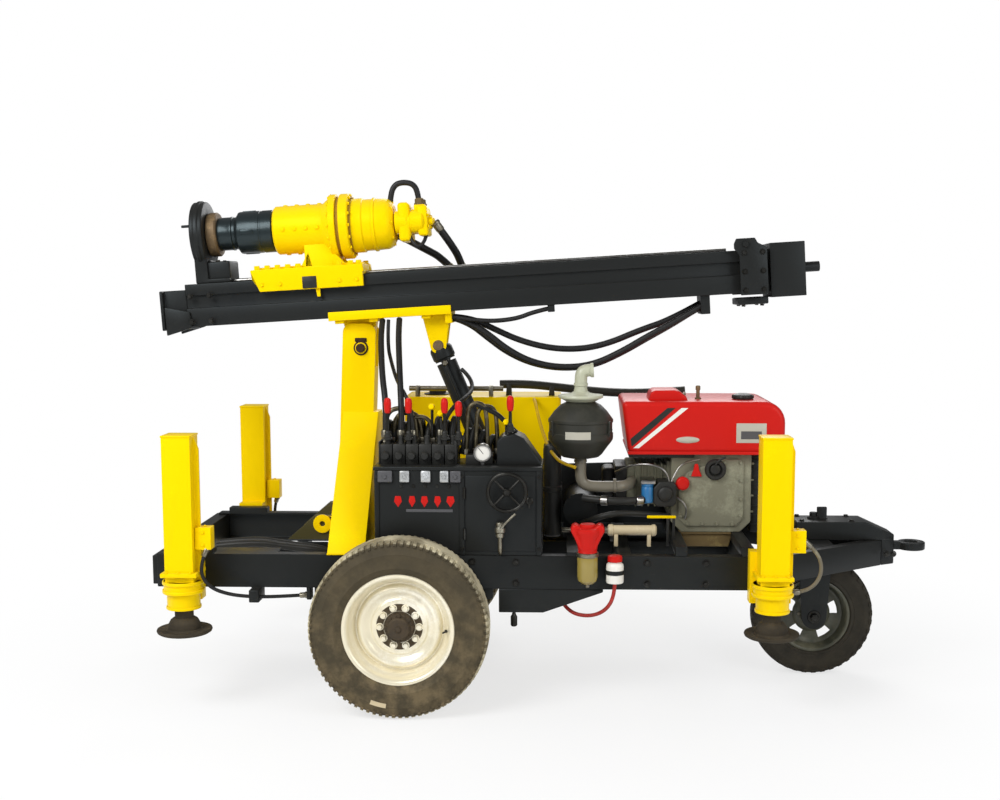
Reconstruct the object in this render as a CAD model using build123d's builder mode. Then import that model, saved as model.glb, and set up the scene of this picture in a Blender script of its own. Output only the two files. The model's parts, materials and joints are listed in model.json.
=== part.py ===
import math
import os

from build123d import *

os.makedirs("parts", exist_ok=True)

# Row frame: ground at z = 0, +X forward to the tow eye, -Y the side with the levers, millimetres.

# Chassis rails
RAIL_Y = 491.0
RAIL_WIDTH = 58.0
RAIL_HEIGHT = 140.0
RAIL_TOP_Z = 632.0
RAIL_WEB = 8.0
RAIL_FLANGE = 10.0
RAIL_REAR_X = -1610.0
RAIL_FRONT_X = 880.0
RAIL_BOTTOM_Z = RAIL_TOP_Z - RAIL_HEIGHT
RAIL_OUTER_Y = RAIL_Y + RAIL_WIDTH / 2
WEB_INNER_Y = RAIL_OUTER_Y - RAIL_WEB
SIDES = (("near", -1), ("far", 1))
RAIL_CLIPS = (
    # x, half length, outer y, bottom z of each clip that holds the rear jack's hose
    (-1195.0, 21.0, 575.0, 440.0),
    (-980.0, 10.0, 510.0, 438.0),
)

# Cross members at x with a width, and the bearers under the engine
CROSS_MEMBERS = ((-1600.0, 60.0), (-815.0, 120.0), (-140.0, 90.0), (330.0, 60.0), (845.0, 60.0))
BEARERS = (560.0, 830.0)
BEARER_WIDTH = 50.0
BEARER_HEIGHT = 40.0
DECK_INNER_Y = 330.0
DECK_THICKNESS = 6.0

# Leaf springs
SPRING_HALF_LENGTH = 370.0
SPRING_WIDTH = 50.0
SPRING_THICKNESS = 34.0
HANGER = 40.0

# Main wheels and axle
AXLE_X = -585.0
AXLE_Z = 366.0
TYRE_R = 366.0
TYRE_WIDTH = 180.0
WHEEL_Y = 645.0
RIM_R = 206.0
RIM_WIDTH = 120.0
RIM_WALL = 8.0
RIM_SEAT_GAP = 0.3
DISH_R = 160.0
HUB_R = 59.0
HUB_INNER_Y = 560.0
HUB_CAP_Y = 705.0
HUB_FLANGE = 20.0
HUB_FLANGE_DEPTH = 45.0
HUB_END_GAP = 6.0
NUT_RING = 50.0
DISH_BACK = 10.0
DISH_RISE = 20.0
TYRE_SHOULDER = 0.40 * TYRE_WIDTH
TYRE_CROWN = 14.0
STUB_R = 26.0
SHAFT_GAP = 0.05
STUB_END_Y = 670.0
AXLE_BEAM = 70.0
AXLE_BEAM_END_Y = 552.0

# Front wheel and fork
FRONT_X = 1192.0
FRONT_R = 270.0
FRONT_WIDTH = 112.0
FRONT_RIM_R = 152.0
FRONT_RIM_WIDTH = 86.0
FRONT_HUB_R = 36.0
FRONT_DISC_HALF = 8.0
FRONT_WELL = 12.0
FRONT_SHOULDER = 0.38 * FRONT_WIDTH
FRONT_CROWN = 12.0
FRONT_HUB_HALF = 60.0
FRONT_PIN_R = 12.0
FORK_INNER_Y = 66.0
FORK_ARM = 14.0
FORK_TOP_Z = 566.0
FORK_PLATE = 14.0
FORK_ARM_TOP = 150.0
FORK_ARM_HUB_R = 55.0
KING_R = 28.0
KING_TOP_Z = 612.0
FORK_CLEARANCE = 6.0

# Drawbar
BAR_WIDTH = 62.0
BAR_TOP_Z = 620.0
BAR_HEIGHT = 115.0
HEAD_X = FRONT_X + 288.0
HEAD_TIP_X = HEAD_X + 65.0
HEAD_HALF_WIDTH = 74.0
EYE_X = HEAD_TIP_X + 85.0
CAP_REAR_X = FRONT_X - 87.0
CAP_SHOULDER_X = HEAD_X - 72.0
CAP_TOP_Z = 700.0
CAP_TIP_Z = 637.0
CAP_HALF_WIDTH = 88.0
CAP_LUG_X = FRONT_X + 38.0
CAP_LUG_HEIGHT = 54.0
CAP_LUG_WIDTH = 44.0
CAP_LUG_THICKNESS = 16.0
EYE_OUTER_R = 60.0
EYE_HOLE_R = 30.0
EYE_THICKNESS = 34.0
EYE_SHANK_WIDTH = 52.0
EYE_Z = 583.0

# Jacks
JACKS = (
    # name, x, side, how far its mounting plate stands out beside the tube
    ("rear_near", -1465.0, -1, 0.0),
    ("rear_far", -1465.0, 1, 0.0),
    ("front_near", 914.0, -1, 26.0),
    ("front_far", 914.0, 1, 26.0),
)
JACK_Y = 640.0
JACK_TUBE = 115.0
JACK_TOP_Z = 1140.0
JACK_TUBE_BOTTOM_Z = 551.0
JACK_COLLAR_R = 78.0
JACK_COLLAR_BOTTOM_Z = 505.0
JACK_SLEEVE_R = 66.0
JACK_SLEEVE_BOTTOM_Z = 434.0
JACK_LEG_R = 38.0
JACK_LEG_TOP_Z = 1100.0
JACK_BORE_TOP_Z = 1120.0
JACK_FOOT_R = 111.0
JACK_FOOT_BOTTOM_Z = 332.0
JACK_FOOT_THICKNESS = 16.0
JACK_CUP_FOOT_R = 64.0
JACK_CUP_TOP_R = 44.0
JACK_CUP_TOP_Z = 377.0
JACK_RIB = 20.0
JACK_RIB_WALL = 12.0
JACK_RIB_SLANT = 56.0
JACK_BLOCK = 56.0
JACK_BLOCK_START = 60.0
JACK_BLOCK_END = 124.0
JACK_BLOCK_BOTTOM_Z = 680.0
JACK_BLOCK_TOP_Z = 770.0
JACK_MOUNT_BOTTOM_Z = 455.0
JACK_MOUNT_TOP_Z = 668.0
JACK_SEAT_HALF = 93.0
JACK_SEAT_HEIGHT = 25.0

# Mast pivot and mast section, in the mast's own plane: s along it, h square to it
PIVOT_X = -818.0
PIVOT_Z = 1462.0
TRAVEL_TILT = 3.5
MAST_BASE_H = 138.0
MAST_DEPTH = 185.0
MAST_TOP_H = MAST_BASE_H + MAST_DEPTH
CHORD_HALF_WIDTH = 104.0
CHORD_DEPTH = 80.0
WEB_HALF_WIDTH = 90.0
GUIDE_HALF_WIDTH = 104.0
GUIDE_DEPTH = 50.0
BEAM_START_S = -745.0
BEAM_END_S = 1795.0
BEAM_CLIPS = (
    # start, end, half width, y, bottom h of the anchor and the clip under the beam
    (1496.0, 1536.0, 82.0, 0.0, 58.0),
    (832.0, 862.0, 20.0, -78.0, 108.0),
)
FOOT_LENGTH = 110.0
FOOT_HALF_WIDTH = 122.0
FOOT_BASE_H = 128.0
FOOT_TOP_H = 300.0
HEAD_LENGTH = 150.0
HEAD_BLOCK_HALF_WIDTH = 125.0
HEAD_BASE_H = 114.0
HEAD_TOP_H = 346.0
SHEAVE_PIN_R = 22.0
SHEAVE_PIN_LENGTH = 70.0
SHEAVE_PIN_Y = 60.0
SHEAVE_PIN_H = 235.0
SLED_GAP = 0.5
SLED_DECK = 42.5
SLED_SKIRT = 52.0
SLED_TOP_H = MAST_TOP_H + SLED_GAP + SLED_DECK
SLED_SIDE_H = MAST_TOP_H - SLED_SKIRT
DRILL_H = SLED_TOP_H + 169.0
GUIDE_RING_S = -668.0
GUIDE_RING_THICKNESS = 55.0
GUIDE_RING_R = 145.0
GUIDE_BORE_R = 62.0
GUIDE_STEM_HALF_WIDTH = 95.0
GUIDE_BASE_LENGTH = 150.0
GUIDE_BASE_DEPTH = 18.0

# Cradle that carries the mast on the post
CRADLE_START_S = -125.0
CRADLE_END_S = 412.0
CRADLE_PLATE = 12.0
CRADLE_SIDE_H = 165.0
CRADLE_WALL = 10.0
LUG_HALF_WIDTH = 36.0
LUG_R = 50.0
LUG_FOOT = 75.0
PIVOT_PIN_R = 25.0
TILT_EYE_S = 340.0
TILT_EYE_H = -10.0
CLEVIS_INNER_Y = 33.0
CLEVIS_WALL = 13.0
CLEVIS_R = 36.0
CLEVIS_FOOT = 62.0
HOSE_BLOCK_LENGTH = 30.0
HOSE_BLOCK_DEPTH = 40.0
HOSE_BLOCK_HALF = 96.0

# Post and pedestal
POST_HALF_DEPTH = 60.0
POST_TOP_Z = 1570.0
POST_TOP_LEFT_X = -896.0
POST_FOOT_LEFT_X = -935.0
POST_WIDTH = 146.0
POST_SLOT_Z = 1376.0
POST_SLOT_HALF_WIDTH = 42.0
POST_CORNER_R = 40.0
PEDESTAL_TOP_Z = 1180.0
PEDESTAL_LEFT_X = -900.0
PEDESTAL_RIGHT_X = -745.0
STAY_FOOT_X = -1130.0
STAY_TOP_X = -1010.0
STAY_TOP_Z = 736.0
STAY_INNER_Y = 150.0
STAY_OUTER_Y = 200.0
STAY_LUG_X = -975.0
STAY_LUG_Z = 703.0
STAY_LUG_R = 40.0
STAY_LUG_HOLE_R = 12.0
STAY_LUG_THICKNESS = 12.0

# Tilt cylinder
TILT_BASE_X = -140.0
TILT_BASE_Z = 670.0
BARREL_R = 45.0
ROD_SHOWING = 81.0
BARREL_START = 58.0
BARREL_NECK_START = 28.0
BARREL_BORE_RUN = 10.0
BARREL_EYE_R = 38.0
BARREL_EYE_HALF = 26.0
TILT_ROD_R = 22.5
TILT_ROD_TAIL = 330.0
ROD_EYE_R = 33.0
ROD_EYE_HALF = 27.0
TILT_PIN_R = 20.0

# Carriage and drill head
SLED_START_S = -446.0
SLED_END_S = 42.0
SLED_PLATE = 26.0
ARM_START_S = -60.0
ARM_END_S = 475.0
ARM_THICKNESS = 12.0
ARM_BOTTOM_H = 290.0
ARM_TOP_H = 340.0
ARM_BLOCK_START_S = 390.0
ARM_BLOCK_WIDTH = 46.0
ARM_BLOCK_BOTTOM_H = 262.0
ARM_BLOCK_TOP_H = 318.0
SADDLE_START_S = -214.0
SADDLE_HALF_WIDTH = 78.0
GEAR_START_S = -346.0
GEAR_END_S = -92.0
GEAR_R = 105.0
FLANGE_R = 142.0
FLANGE_END_S = -8.0
REAR_BODY_END_S = 190.0
MOTOR_END_S = 336.0
MOTOR_R = 52.0
MOTOR_OFFSET = 46.0
SPINDLE_START_S = -604.0
SPINDLE_NECK_S = -507.0
SPINDLE_NECK_R = 72.0
SPINDLE_R = 92.0
SPINDLE_GAP = 1.0
SPINDLE_BORE_R = 38.0
SPINDLE_BORE_DEPTH = 80.0

# Control console
CONSOLE_START_X = -700.0
CONSOLE_END_X = -12.0
CONSOLE_FRONT_Y = -520.0
CONSOLE_BACK_Y = -250.0
CONSOLE_TOP_Z = 990.0
VALVE_START_X = -690.0
VALVE_END_X = -373.0
VALVE_TOP_Z = 1110.0
VALVE_Y = -400.0
VALVE_DEPTH = 110.0
LEVERS = ((-653.0, 1275.0), (-566.0, 1275.0), (-417.0, 1275.0), (-359.0, 1262.0), (-145.0, 1285.0))
LEVER_Y = -430.0
LEVER_R = 8.0
KNOB_R = 16.0
KNOB_LENGTH = 62.0
GAUGE_R = 38.0
GAUGE_X = -254.0
GAUGE_Z = 1055.0
GAUGE_Y = -455.0
GAUGE_DEPTH = 30.0
GAUGE_STEM_R = 9.0
HANDWHEEL_X = -154.0
HANDWHEEL_Z = 902.0
HANDWHEEL_R = 85.0
HANDWHEEL_RIM_R = 8.0
HANDWHEEL_HUB_R = 12.0
HANDWHEEL_REACH = 45.0

# Belly box below the console
BELLY_START_X = AXLE_X + SPRING_HALF_LENGTH + 25.0
BELLY_END_X = -7.0
BELLY_TIP_X = 240.0
BELLY_BOTTOM_Z = 393.0
BELLY_NEAR_Y = -520.0
BELLY_DEPTH = 160.0
BELLY_TIP_DEPTH = 12.0

# Oil tank on the far side
TANK_START_X = -661.0
TANK_END_X = 63.0
TANK_NEAR_Y = 190.0
TANK_FAR_Y = 510.0
TANK_BOTTOM_Z = RAIL_TOP_Z
TANK_TOP_Z = 1225.0
TANK_FILLET = 24.0

# Fuel filter and drain bottle on the near rail
FILTER_X = 174.0
FILTER_Y = -570.0
FILTER_DEPTH = 84.0
FILTER_TOP_HALF = 66.0
FILTER_TOP_Z = 776.0
FILTER_BOTTOM_Z = 656.0
FILTER_BRACKET = 60.0
FILTER_BRACKET_Z = 686.0
FILTER_PLATE = 7.0
BOWL_R = 42.0
BOWL_BOTTOM_Z = 526.0
BOTTLE_X = 286.0
BOTTLE_R = 36.0
BOTTLE_BOTTOM_Z = 527.0
BOTTLE_HEIGHT = 111.0

# Engine
ENGINE_START_X = 350.0
CRANKCASE_START_X = 540.0
CRANKCASE_END_X = 886.0
CRANKCASE_TOP_Z = 1020.0
CYLINDER_BOTTOM_Z = 780.0
CYLINDER_TOP_Z = 960.0
ENGINE_HALF_WIDTH = 190.0
CRANKCASE_CHAMFER = 46.0
CYLINDER_HALF_WIDTH = 123.5
COVER_RIM = 32.0
COVER_CORNER = 32.0
COVER_SLOPE_X = 170.0
COVER_SLOPE_Z = 110.0
COVER_DEPTH = 12.0
HEAD_DEPTH = 50.0
HEAD_RIM = 8.0
ROCKER_DEPTH = 54.0
ROCKER_RIM = 28.0
ROCKER_HALF_WIDTH = 78.0
PAN_START_X = 590.0
PAN_END_X = 800.0
PAN_HALF_WIDTH = 170.0
PAN_DEPTH = 70.0
HOOD_START_X = 320.0
HOOD_LEFT_FOOT_X = 352.0
HOOD_END_X = 1025.0
HOOD_TOP_Z = 1244.0
HOOD_HALF_WIDTH = 235.0
HOOD_CORNER_R = 92.0
HUMP_START_X = 440.0
HUMP_END_X = 612.0
HUMP_HEIGHT = 43.0
HUMP_REAR_SLOPE = 14.0
HUMP_FRONT_SLOPE = 40.0
HUMP_WIDTH = 185.0
HUMP_Y = -82.5
FLYWHEEL_X = 715.0
FLYWHEEL_Z = 850.0
FLYWHEEL_R = 160.0
FLYWHEEL_SHAFT_R = 45.0
FLYWHEEL_WIDTH = 78.0
FLYWHEEL_Y = 250.0
PUMP_X = 150.0
PUMP_Z = 760.0
PUMP_R = 75.0
PUMP_HALF_LENGTH = 160.0
PUMP_FOOT_WIDTH = 220.0
PUMP_PLATE_WIDTH = 120.0
PUMP_PLATE = 16.0

# Air cleaner and intake
CLEANER_X = 148.0
CLEANER_Y = -250.0
CLEANER_R = 138.0
CLEANER_BOTTOM_Z = 1007.0
CLEANER_SHOULDER_Z = 1150.0
CLEANER_TOP_Z = 1243.0
CLEANER_TAPER = 60.0
CLEANER_NECK_R = 40.0
STACK_R = 26.0
STACK_TOP_Z = 1372.0
INTAKE_R = 22.0
INTAKE_Z = 880.0
INTAKE_END_X = 360.0
INTAKE_BEND_R = 50.0

# Hoses: name, radius and the points of the route (x, y, z), from the fitting to the far end
ARC_SHARE = 0.45
FESTOON_R = 14.0
FESTOON_NEAR = (
    (-413, -50, 1594),
    (-345, -50, 1580),
    (-262, -50, 1528),
    (-176, -50, 1458),
    (-71, -50, 1402),
    (60, -50, 1376),
    (201, -50, 1388),
    (330, -50, 1448),
    (450, -50, 1520),
    (565, -50, 1580),
    (681, -50, 1650),
)
FESTOON_MID = (
    (-413, 0, 1598),
    (-335, 0, 1592),
    (-240, 0, 1548),
    (-123, 0, 1494),
    (20, 0, 1458),
    (159, 0, 1456),
    (280, 0, 1484),
    (410, 0, 1540),
    (545, 0, 1586),
    (681, 0, 1662),
)
FESTOON_FAR = (
    (-413, 50, 1590),
    (-348, 50, 1570),
    (-270, 50, 1508),
    (-180, 50, 1440),
    (-72, 50, 1390),
    (60, 50, 1366),
    (205, 50, 1378),
    (335, 50, 1438),
    (455, 50, 1508),
    (570, 50, 1572),
    (681, 50, 1644),
)
FESTOON_LOOP = (
    (-413, -78, 1600),
    (-340, -78, 1589),
    (-240, -78, 1580),
    (-130, -78, 1592),
    (-55, -78, 1622),
    (17, -78, 1638),
)
HEAD_HOSE_TOP = (
    (-492, 46, 2006),
    (-462, 56, 1966),
    (-428, 84, 1916),
    (-398, 124, 1864),
    (-382, 165, 1807),
)
HEAD_HOSE_REAR = (
    (-660, 92, 1958),
    (-606, 128, 1928),
    (-545, 150, 1896),
    (-482, 162, 1862),
    (-426, 165, 1804),
)
FESTOON_LOOP_R = 10.0
HEAD_HOSE_R = 17.0
DRAIN_HOSE_R = 8.0
JACK_HOSE_R = 7.5
JACK_HOSE_FRONT = (
    (1038, 640, 720),
    (1088, 640, 682),
    (1110, 640, 615),
    (1092, 640, 555),
    (1042, 640, 518),
    (990, 640, 514),
)
JACK_HOSE_REAR = (
    (-1362, 655, 680),
    (-1380, 672, 630),
    (-1380, 675, 570),
    (-1346, 655, 518),
    (-1282, 610, 482),
    (-1205, 560, 462),
    (-1110, 515, 452),
    (-990, 490, 455),
)
DRAIN_HOSE = (
    (286, -556, 527),
    (284, -558, 478),
    (258, -548, 420),
    (205, -520, 382),
    (135, -480, 374),
    (88, -452, 396),
    (66, -440, 430),
)
HOSES = [
    ("festoon_hose_near", FESTOON_R, FESTOON_NEAR),
    ("festoon_hose_mid", FESTOON_R, FESTOON_MID),
    ("festoon_hose_far", FESTOON_R, FESTOON_FAR),
    ("festoon_hose_short", FESTOON_LOOP_R, FESTOON_LOOP),
    ("head_hose_top", HEAD_HOSE_R, HEAD_HOSE_TOP),
    ("head_hose_rear", HEAD_HOSE_R, HEAD_HOSE_REAR),
    ("drain_hose", DRAIN_HOSE_R, DRAIN_HOSE),
]
for side, sign in SIDES:
    HOSES.append((f"jack_hose_front_{side}", JACK_HOSE_R, [(x, sign * y, z) for x, y, z in JACK_HOSE_FRONT]))
    HOSES.append((f"jack_hose_rear_{side}", JACK_HOSE_R, [(x, sign * y, z) for x, y, z in JACK_HOSE_REAR]))


def mast_plane(offset_y=0.0):
    """The mast's own plane at rest: x is s along the mast, y is h square to it, z is -Y."""
    tilt = math.radians(TRAVEL_TILT)
    return Plane(
        origin=(PIVOT_X, offset_y, PIVOT_Z),
        x_dir=(math.cos(tilt), 0, math.sin(tilt)),
        z_dir=(0, -1, 0),
    )


def section_plane(s):
    """A plane square to the mast at s: x is Y, y is h, z is along the mast."""
    tilt = math.radians(TRAVEL_TILT)
    origin = (PIVOT_X + s * math.cos(tilt), 0, PIVOT_Z + s * math.sin(tilt))
    return Plane(origin=origin, x_dir=(0, 1, 0), z_dir=(math.cos(tilt), 0, math.sin(tilt)))


def drill_plane(s):
    """As section_plane, but centred on the drill axis."""
    tilt = math.radians(TRAVEL_TILT)
    origin = (
        PIVOT_X + s * math.cos(tilt) - DRILL_H * math.sin(tilt),
        0,
        PIVOT_Z + s * math.sin(tilt) + DRILL_H * math.cos(tilt),
    )
    return Plane(origin=origin, x_dir=(0, 1, 0), z_dir=(math.cos(tilt), 0, math.sin(tilt)))


# Rails: channels that open inward
for side, sign in SIDES:
    with BuildPart() as rail:
        with BuildSketch(Plane.YZ.offset(RAIL_REAR_X)):
            with Locations((sign * RAIL_Y, RAIL_TOP_Z - RAIL_HEIGHT / 2)):
                Rectangle(RAIL_WIDTH, RAIL_HEIGHT)
            with Locations((sign * (RAIL_Y - RAIL_WEB), RAIL_TOP_Z - RAIL_HEIGHT / 2)):
                Rectangle(RAIL_WIDTH, RAIL_HEIGHT - 2 * RAIL_FLANGE, mode=Mode.SUBTRACT)
        extrude(amount=RAIL_FRONT_X - RAIL_REAR_X)
        for name, jack_x, jack_sign, plate_reach in JACKS:
            if jack_sign == sign and jack_x < 0:
                with Locations((jack_x, sign * RAIL_Y, RAIL_TOP_Z + JACK_SEAT_HEIGHT / 2)):
                    Box(2 * JACK_SEAT_HALF, RAIL_WIDTH, JACK_SEAT_HEIGHT)
        for clip_x, clip_half, clip_outer_y, clip_bottom_z in RAIL_CLIPS:
            clip_y = sign * (clip_outer_y + RAIL_Y - RAIL_WIDTH / 2) / 2
            with Locations((clip_x, clip_y, (clip_bottom_z + RAIL_BOTTOM_Z) / 2)):
                Box(2 * clip_half, clip_outer_y - RAIL_Y + RAIL_WIDTH / 2, RAIL_BOTTOM_Z - clip_bottom_z)
    rail.part.label = f"rail_{side}"
    export_step(rail.part, f"parts/rail_{side}.step")

# Cross members let into the rails, the engine's bearers on top, and the tilt cylinder's ears with their pin
CROSS_TOP_Z = RAIL_TOP_Z - RAIL_FLANGE
CROSS_BOTTOM_Z = RAIL_BOTTOM_Z + RAIL_FLANGE
BEARER_TOP_Z = RAIL_TOP_Z + BEARER_HEIGHT
with BuildPart() as cross_members:
    for centre_x, width in CROSS_MEMBERS:
        with BuildSketch(Plane.XY.offset(CROSS_BOTTOM_Z)):
            with Locations((centre_x, 0)):
                Rectangle(width, 2 * WEB_INNER_Y)
        extrude(amount=CROSS_TOP_Z - CROSS_BOTTOM_Z)
    for centre_x in BEARERS:
        with BuildSketch(Plane.XY.offset(RAIL_TOP_Z)):
            with Locations((centre_x, 0)):
                Rectangle(BEARER_WIDTH, 2 * RAIL_OUTER_Y)
        extrude(amount=BEARER_HEIGHT)
    for ear_y in (CLEVIS_INNER_Y + CLEVIS_WALL, -CLEVIS_INNER_Y):
        with BuildSketch(Plane.XZ.offset(-ear_y)):
            with Locations((TILT_BASE_X, TILT_BASE_Z)):
                Circle(BARREL_EYE_R)
            with Locations((TILT_BASE_X, (TILT_BASE_Z + CROSS_TOP_Z) / 2)):
                Rectangle(2 * BARREL_EYE_R, TILT_BASE_Z - CROSS_TOP_Z)
        extrude(amount=CLEVIS_WALL)
    with BuildSketch(Plane.XZ.offset(-CLEVIS_INNER_Y - CLEVIS_WALL)):
        with Locations((TILT_BASE_X, TILT_BASE_Z)):
            Circle(TILT_PIN_R)
    extrude(amount=2 * CLEVIS_INNER_Y + 2 * CLEVIS_WALL)
    deck_x = (STAY_FOOT_X + RAIL_REAR_X) / 2
    with Locations((deck_x, -(WEB_INNER_Y + DECK_INNER_Y) / 2, CROSS_TOP_Z - DECK_THICKNESS / 2)):
        Box(STAY_FOOT_X - RAIL_REAR_X, WEB_INNER_Y - DECK_INNER_Y, DECK_THICKNESS)
cross_members.part.label = "cross_members"
export_step(cross_members.part, "parts/cross_members.step")

# Mast post: a box column with a slot for the cradle's lug and the pivot pin, on a pedestal across the rails
with BuildPart() as mast_post:
    with BuildSketch(Plane.XZ.offset(-POST_HALF_DEPTH)):
        with BuildLine():
            Polyline(
                (POST_FOOT_LEFT_X, RAIL_TOP_Z),
                (POST_FOOT_LEFT_X + POST_WIDTH, RAIL_TOP_Z),
                (POST_TOP_LEFT_X + POST_WIDTH, POST_TOP_Z),
                (POST_TOP_LEFT_X, POST_TOP_Z),
                close=True,
            )
        make_face()
    extrude(amount=2 * POST_HALF_DEPTH)
    top_corners = mast_post.edges().filter_by(Axis.Y).group_by(Axis.Z)[-1]
    fillet(top_corners, POST_CORNER_R)
    with Locations((POST_TOP_LEFT_X + POST_WIDTH / 2, 0, (POST_SLOT_Z + POST_TOP_Z) / 2)):
        Box(2 * POST_WIDTH, 2 * POST_SLOT_HALF_WIDTH, POST_TOP_Z - POST_SLOT_Z, mode=Mode.SUBTRACT)
    with BuildSketch(Plane.XZ.offset(-POST_HALF_DEPTH - 8)):
        with Locations((PIVOT_X, PIVOT_Z)):
            Circle(PIVOT_PIN_R)
    extrude(amount=2 * POST_HALF_DEPTH + 16)
    with BuildSketch(Plane.YZ.offset(PEDESTAL_LEFT_X)):
        with BuildLine():
            Polyline(
                (-RAIL_OUTER_Y, RAIL_TOP_Z),
                (RAIL_OUTER_Y, RAIL_TOP_Z),
                (POST_HALF_DEPTH, PEDESTAL_TOP_Z),
                (-POST_HALF_DEPTH, PEDESTAL_TOP_Z),
                close=True,
            )
        make_face()
    extrude(amount=PEDESTAL_RIGHT_X - PEDESTAL_LEFT_X)
    for stay_y in (STAY_OUTER_Y, -STAY_INNER_Y):
        with BuildSketch(Plane.XZ.offset(-stay_y)):
            with BuildLine():
                Polyline(
                    (STAY_FOOT_X, RAIL_TOP_Z),
                    (PEDESTAL_LEFT_X, RAIL_TOP_Z),
                    (PEDESTAL_LEFT_X, STAY_TOP_Z),
                    (STAY_TOP_X, STAY_TOP_Z),
                    close=True,
                )
            make_face()
        extrude(amount=STAY_OUTER_Y - STAY_INNER_Y)
    with BuildSketch(Plane.XZ.offset(STAY_OUTER_Y)):
        with Locations((STAY_LUG_X, STAY_LUG_Z)):
            Circle(STAY_LUG_R)
            Circle(STAY_LUG_HOLE_R, mode=Mode.SUBTRACT)
    extrude(amount=STAY_LUG_THICKNESS)
mast_post.part.label = "mast_post"
export_step(mast_post.part, "parts/mast_post.step")

# Drawbar arms, and the head that joins them with the tow eye
BAR_RUN_X = HEAD_X - RAIL_FRONT_X
for side, sign in SIDES:
    with BuildPart() as bar:
        with BuildSketch(Plane.XY.offset(BAR_TOP_Z - BAR_HEIGHT)):
            with BuildLine():
                Polyline(
                    (RAIL_FRONT_X, sign * (RAIL_Y - RAIL_WIDTH / 2)),
                    (RAIL_FRONT_X, sign * RAIL_OUTER_Y),
                    (HEAD_X, sign * HEAD_HALF_WIDTH),
                    (HEAD_X, sign * (HEAD_HALF_WIDTH - BAR_WIDTH)),
                    close=True,
                )
            make_face()
        extrude(amount=BAR_HEIGHT)
    bar.part.label = f"drawbar_{side}"
    export_step(bar.part, f"parts/drawbar_{side}.step")

with BuildPart() as tow_eye:
    with BuildSketch(Plane.XY.offset(BAR_TOP_Z - BAR_HEIGHT)):
        with BuildLine():
            Polyline(
                (HEAD_X, -HEAD_HALF_WIDTH),
                (HEAD_TIP_X, -HEAD_HALF_WIDTH / 2),
                (HEAD_TIP_X, HEAD_HALF_WIDTH / 2),
                (HEAD_X, HEAD_HALF_WIDTH),
                close=True,
            )
        make_face()
    extrude(amount=BAR_HEIGHT)
    with BuildSketch(Plane.XZ.offset(-CAP_HALF_WIDTH)):
        with BuildLine():
            Polyline(
                (CAP_REAR_X, BAR_TOP_Z),
                (HEAD_TIP_X, BAR_TOP_Z),
                (HEAD_TIP_X, CAP_TIP_Z),
                (CAP_SHOULDER_X, CAP_TOP_Z),
                (CAP_REAR_X, CAP_TOP_Z),
                close=True,
            )
        make_face()
    extrude(amount=2 * CAP_HALF_WIDTH)
    with BuildSketch(Plane.XY.offset(BAR_TOP_Z)):
        with BuildLine():
            Polyline(
                (HEAD_X, -CAP_HALF_WIDTH),
                (HEAD_TIP_X, -CAP_HALF_WIDTH),
                (HEAD_TIP_X, -HEAD_HALF_WIDTH / 2),
                close=True,
            )
            Polyline(
                (HEAD_X, CAP_HALF_WIDTH),
                (HEAD_TIP_X, CAP_HALF_WIDTH),
                (HEAD_TIP_X, HEAD_HALF_WIDTH / 2),
                close=True,
            )
        make_face()
    extrude(amount=CAP_TOP_Z - BAR_TOP_Z, mode=Mode.SUBTRACT)
    with Locations((CAP_LUG_X, 0, CAP_TOP_Z + CAP_LUG_HEIGHT / 2)):
        Box(CAP_LUG_WIDTH, CAP_LUG_THICKNESS, CAP_LUG_HEIGHT)
    with BuildSketch(Plane.XY.offset(EYE_Z - EYE_THICKNESS / 2)):
        with Locations((EYE_X, 0)):
            Circle(EYE_OUTER_R)
        with Locations(((HEAD_TIP_X + EYE_X) / 2, 0)):
            Rectangle(EYE_X - HEAD_TIP_X, EYE_SHANK_WIDTH)
        with Locations((EYE_X, 0)):
            Circle(EYE_HOLE_R, mode=Mode.SUBTRACT)
    extrude(amount=EYE_THICKNESS)
tow_eye.part.label = "tow_eye"
export_step(tow_eye.part, "parts/tow_eye.step")

# Swivel beam between the drawbar arms, with the bearing of the fork's king pin
SWIVEL_HALF_X = 55.0
SWIVEL_BOTTOM_Z = FORK_TOP_Z + FORK_CLEARANCE
SHARE = (FRONT_X - RAIL_FRONT_X) / BAR_RUN_X
SWIVEL_HALF_Y = RAIL_Y - RAIL_WIDTH / 2 - SHARE * (RAIL_Y - RAIL_WIDTH / 2 - HEAD_HALF_WIDTH + BAR_WIDTH)
SLOPE = (RAIL_Y - RAIL_WIDTH / 2 - HEAD_HALF_WIDTH + BAR_WIDTH) / BAR_RUN_X
with BuildPart() as swivel_beam:
    with BuildSketch(Plane.XY.offset(SWIVEL_BOTTOM_Z)):
        with BuildLine():
            Polyline(
                (FRONT_X - SWIVEL_HALF_X, -SWIVEL_HALF_Y - SLOPE * SWIVEL_HALF_X),
                (FRONT_X + SWIVEL_HALF_X, -SWIVEL_HALF_Y + SLOPE * SWIVEL_HALF_X),
                (FRONT_X + SWIVEL_HALF_X, SWIVEL_HALF_Y - SLOPE * SWIVEL_HALF_X),
                (FRONT_X - SWIVEL_HALF_X, SWIVEL_HALF_Y + SLOPE * SWIVEL_HALF_X),
                close=True,
            )
        make_face()
        with Locations((FRONT_X, 0)):
            Circle(KING_R + SHAFT_GAP, mode=Mode.SUBTRACT)
    extrude(amount=BAR_TOP_Z - SWIVEL_BOTTOM_Z)
swivel_beam.part.label = "swivel_beam"
export_step(swivel_beam.part, "parts/swivel_beam.step")

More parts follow.
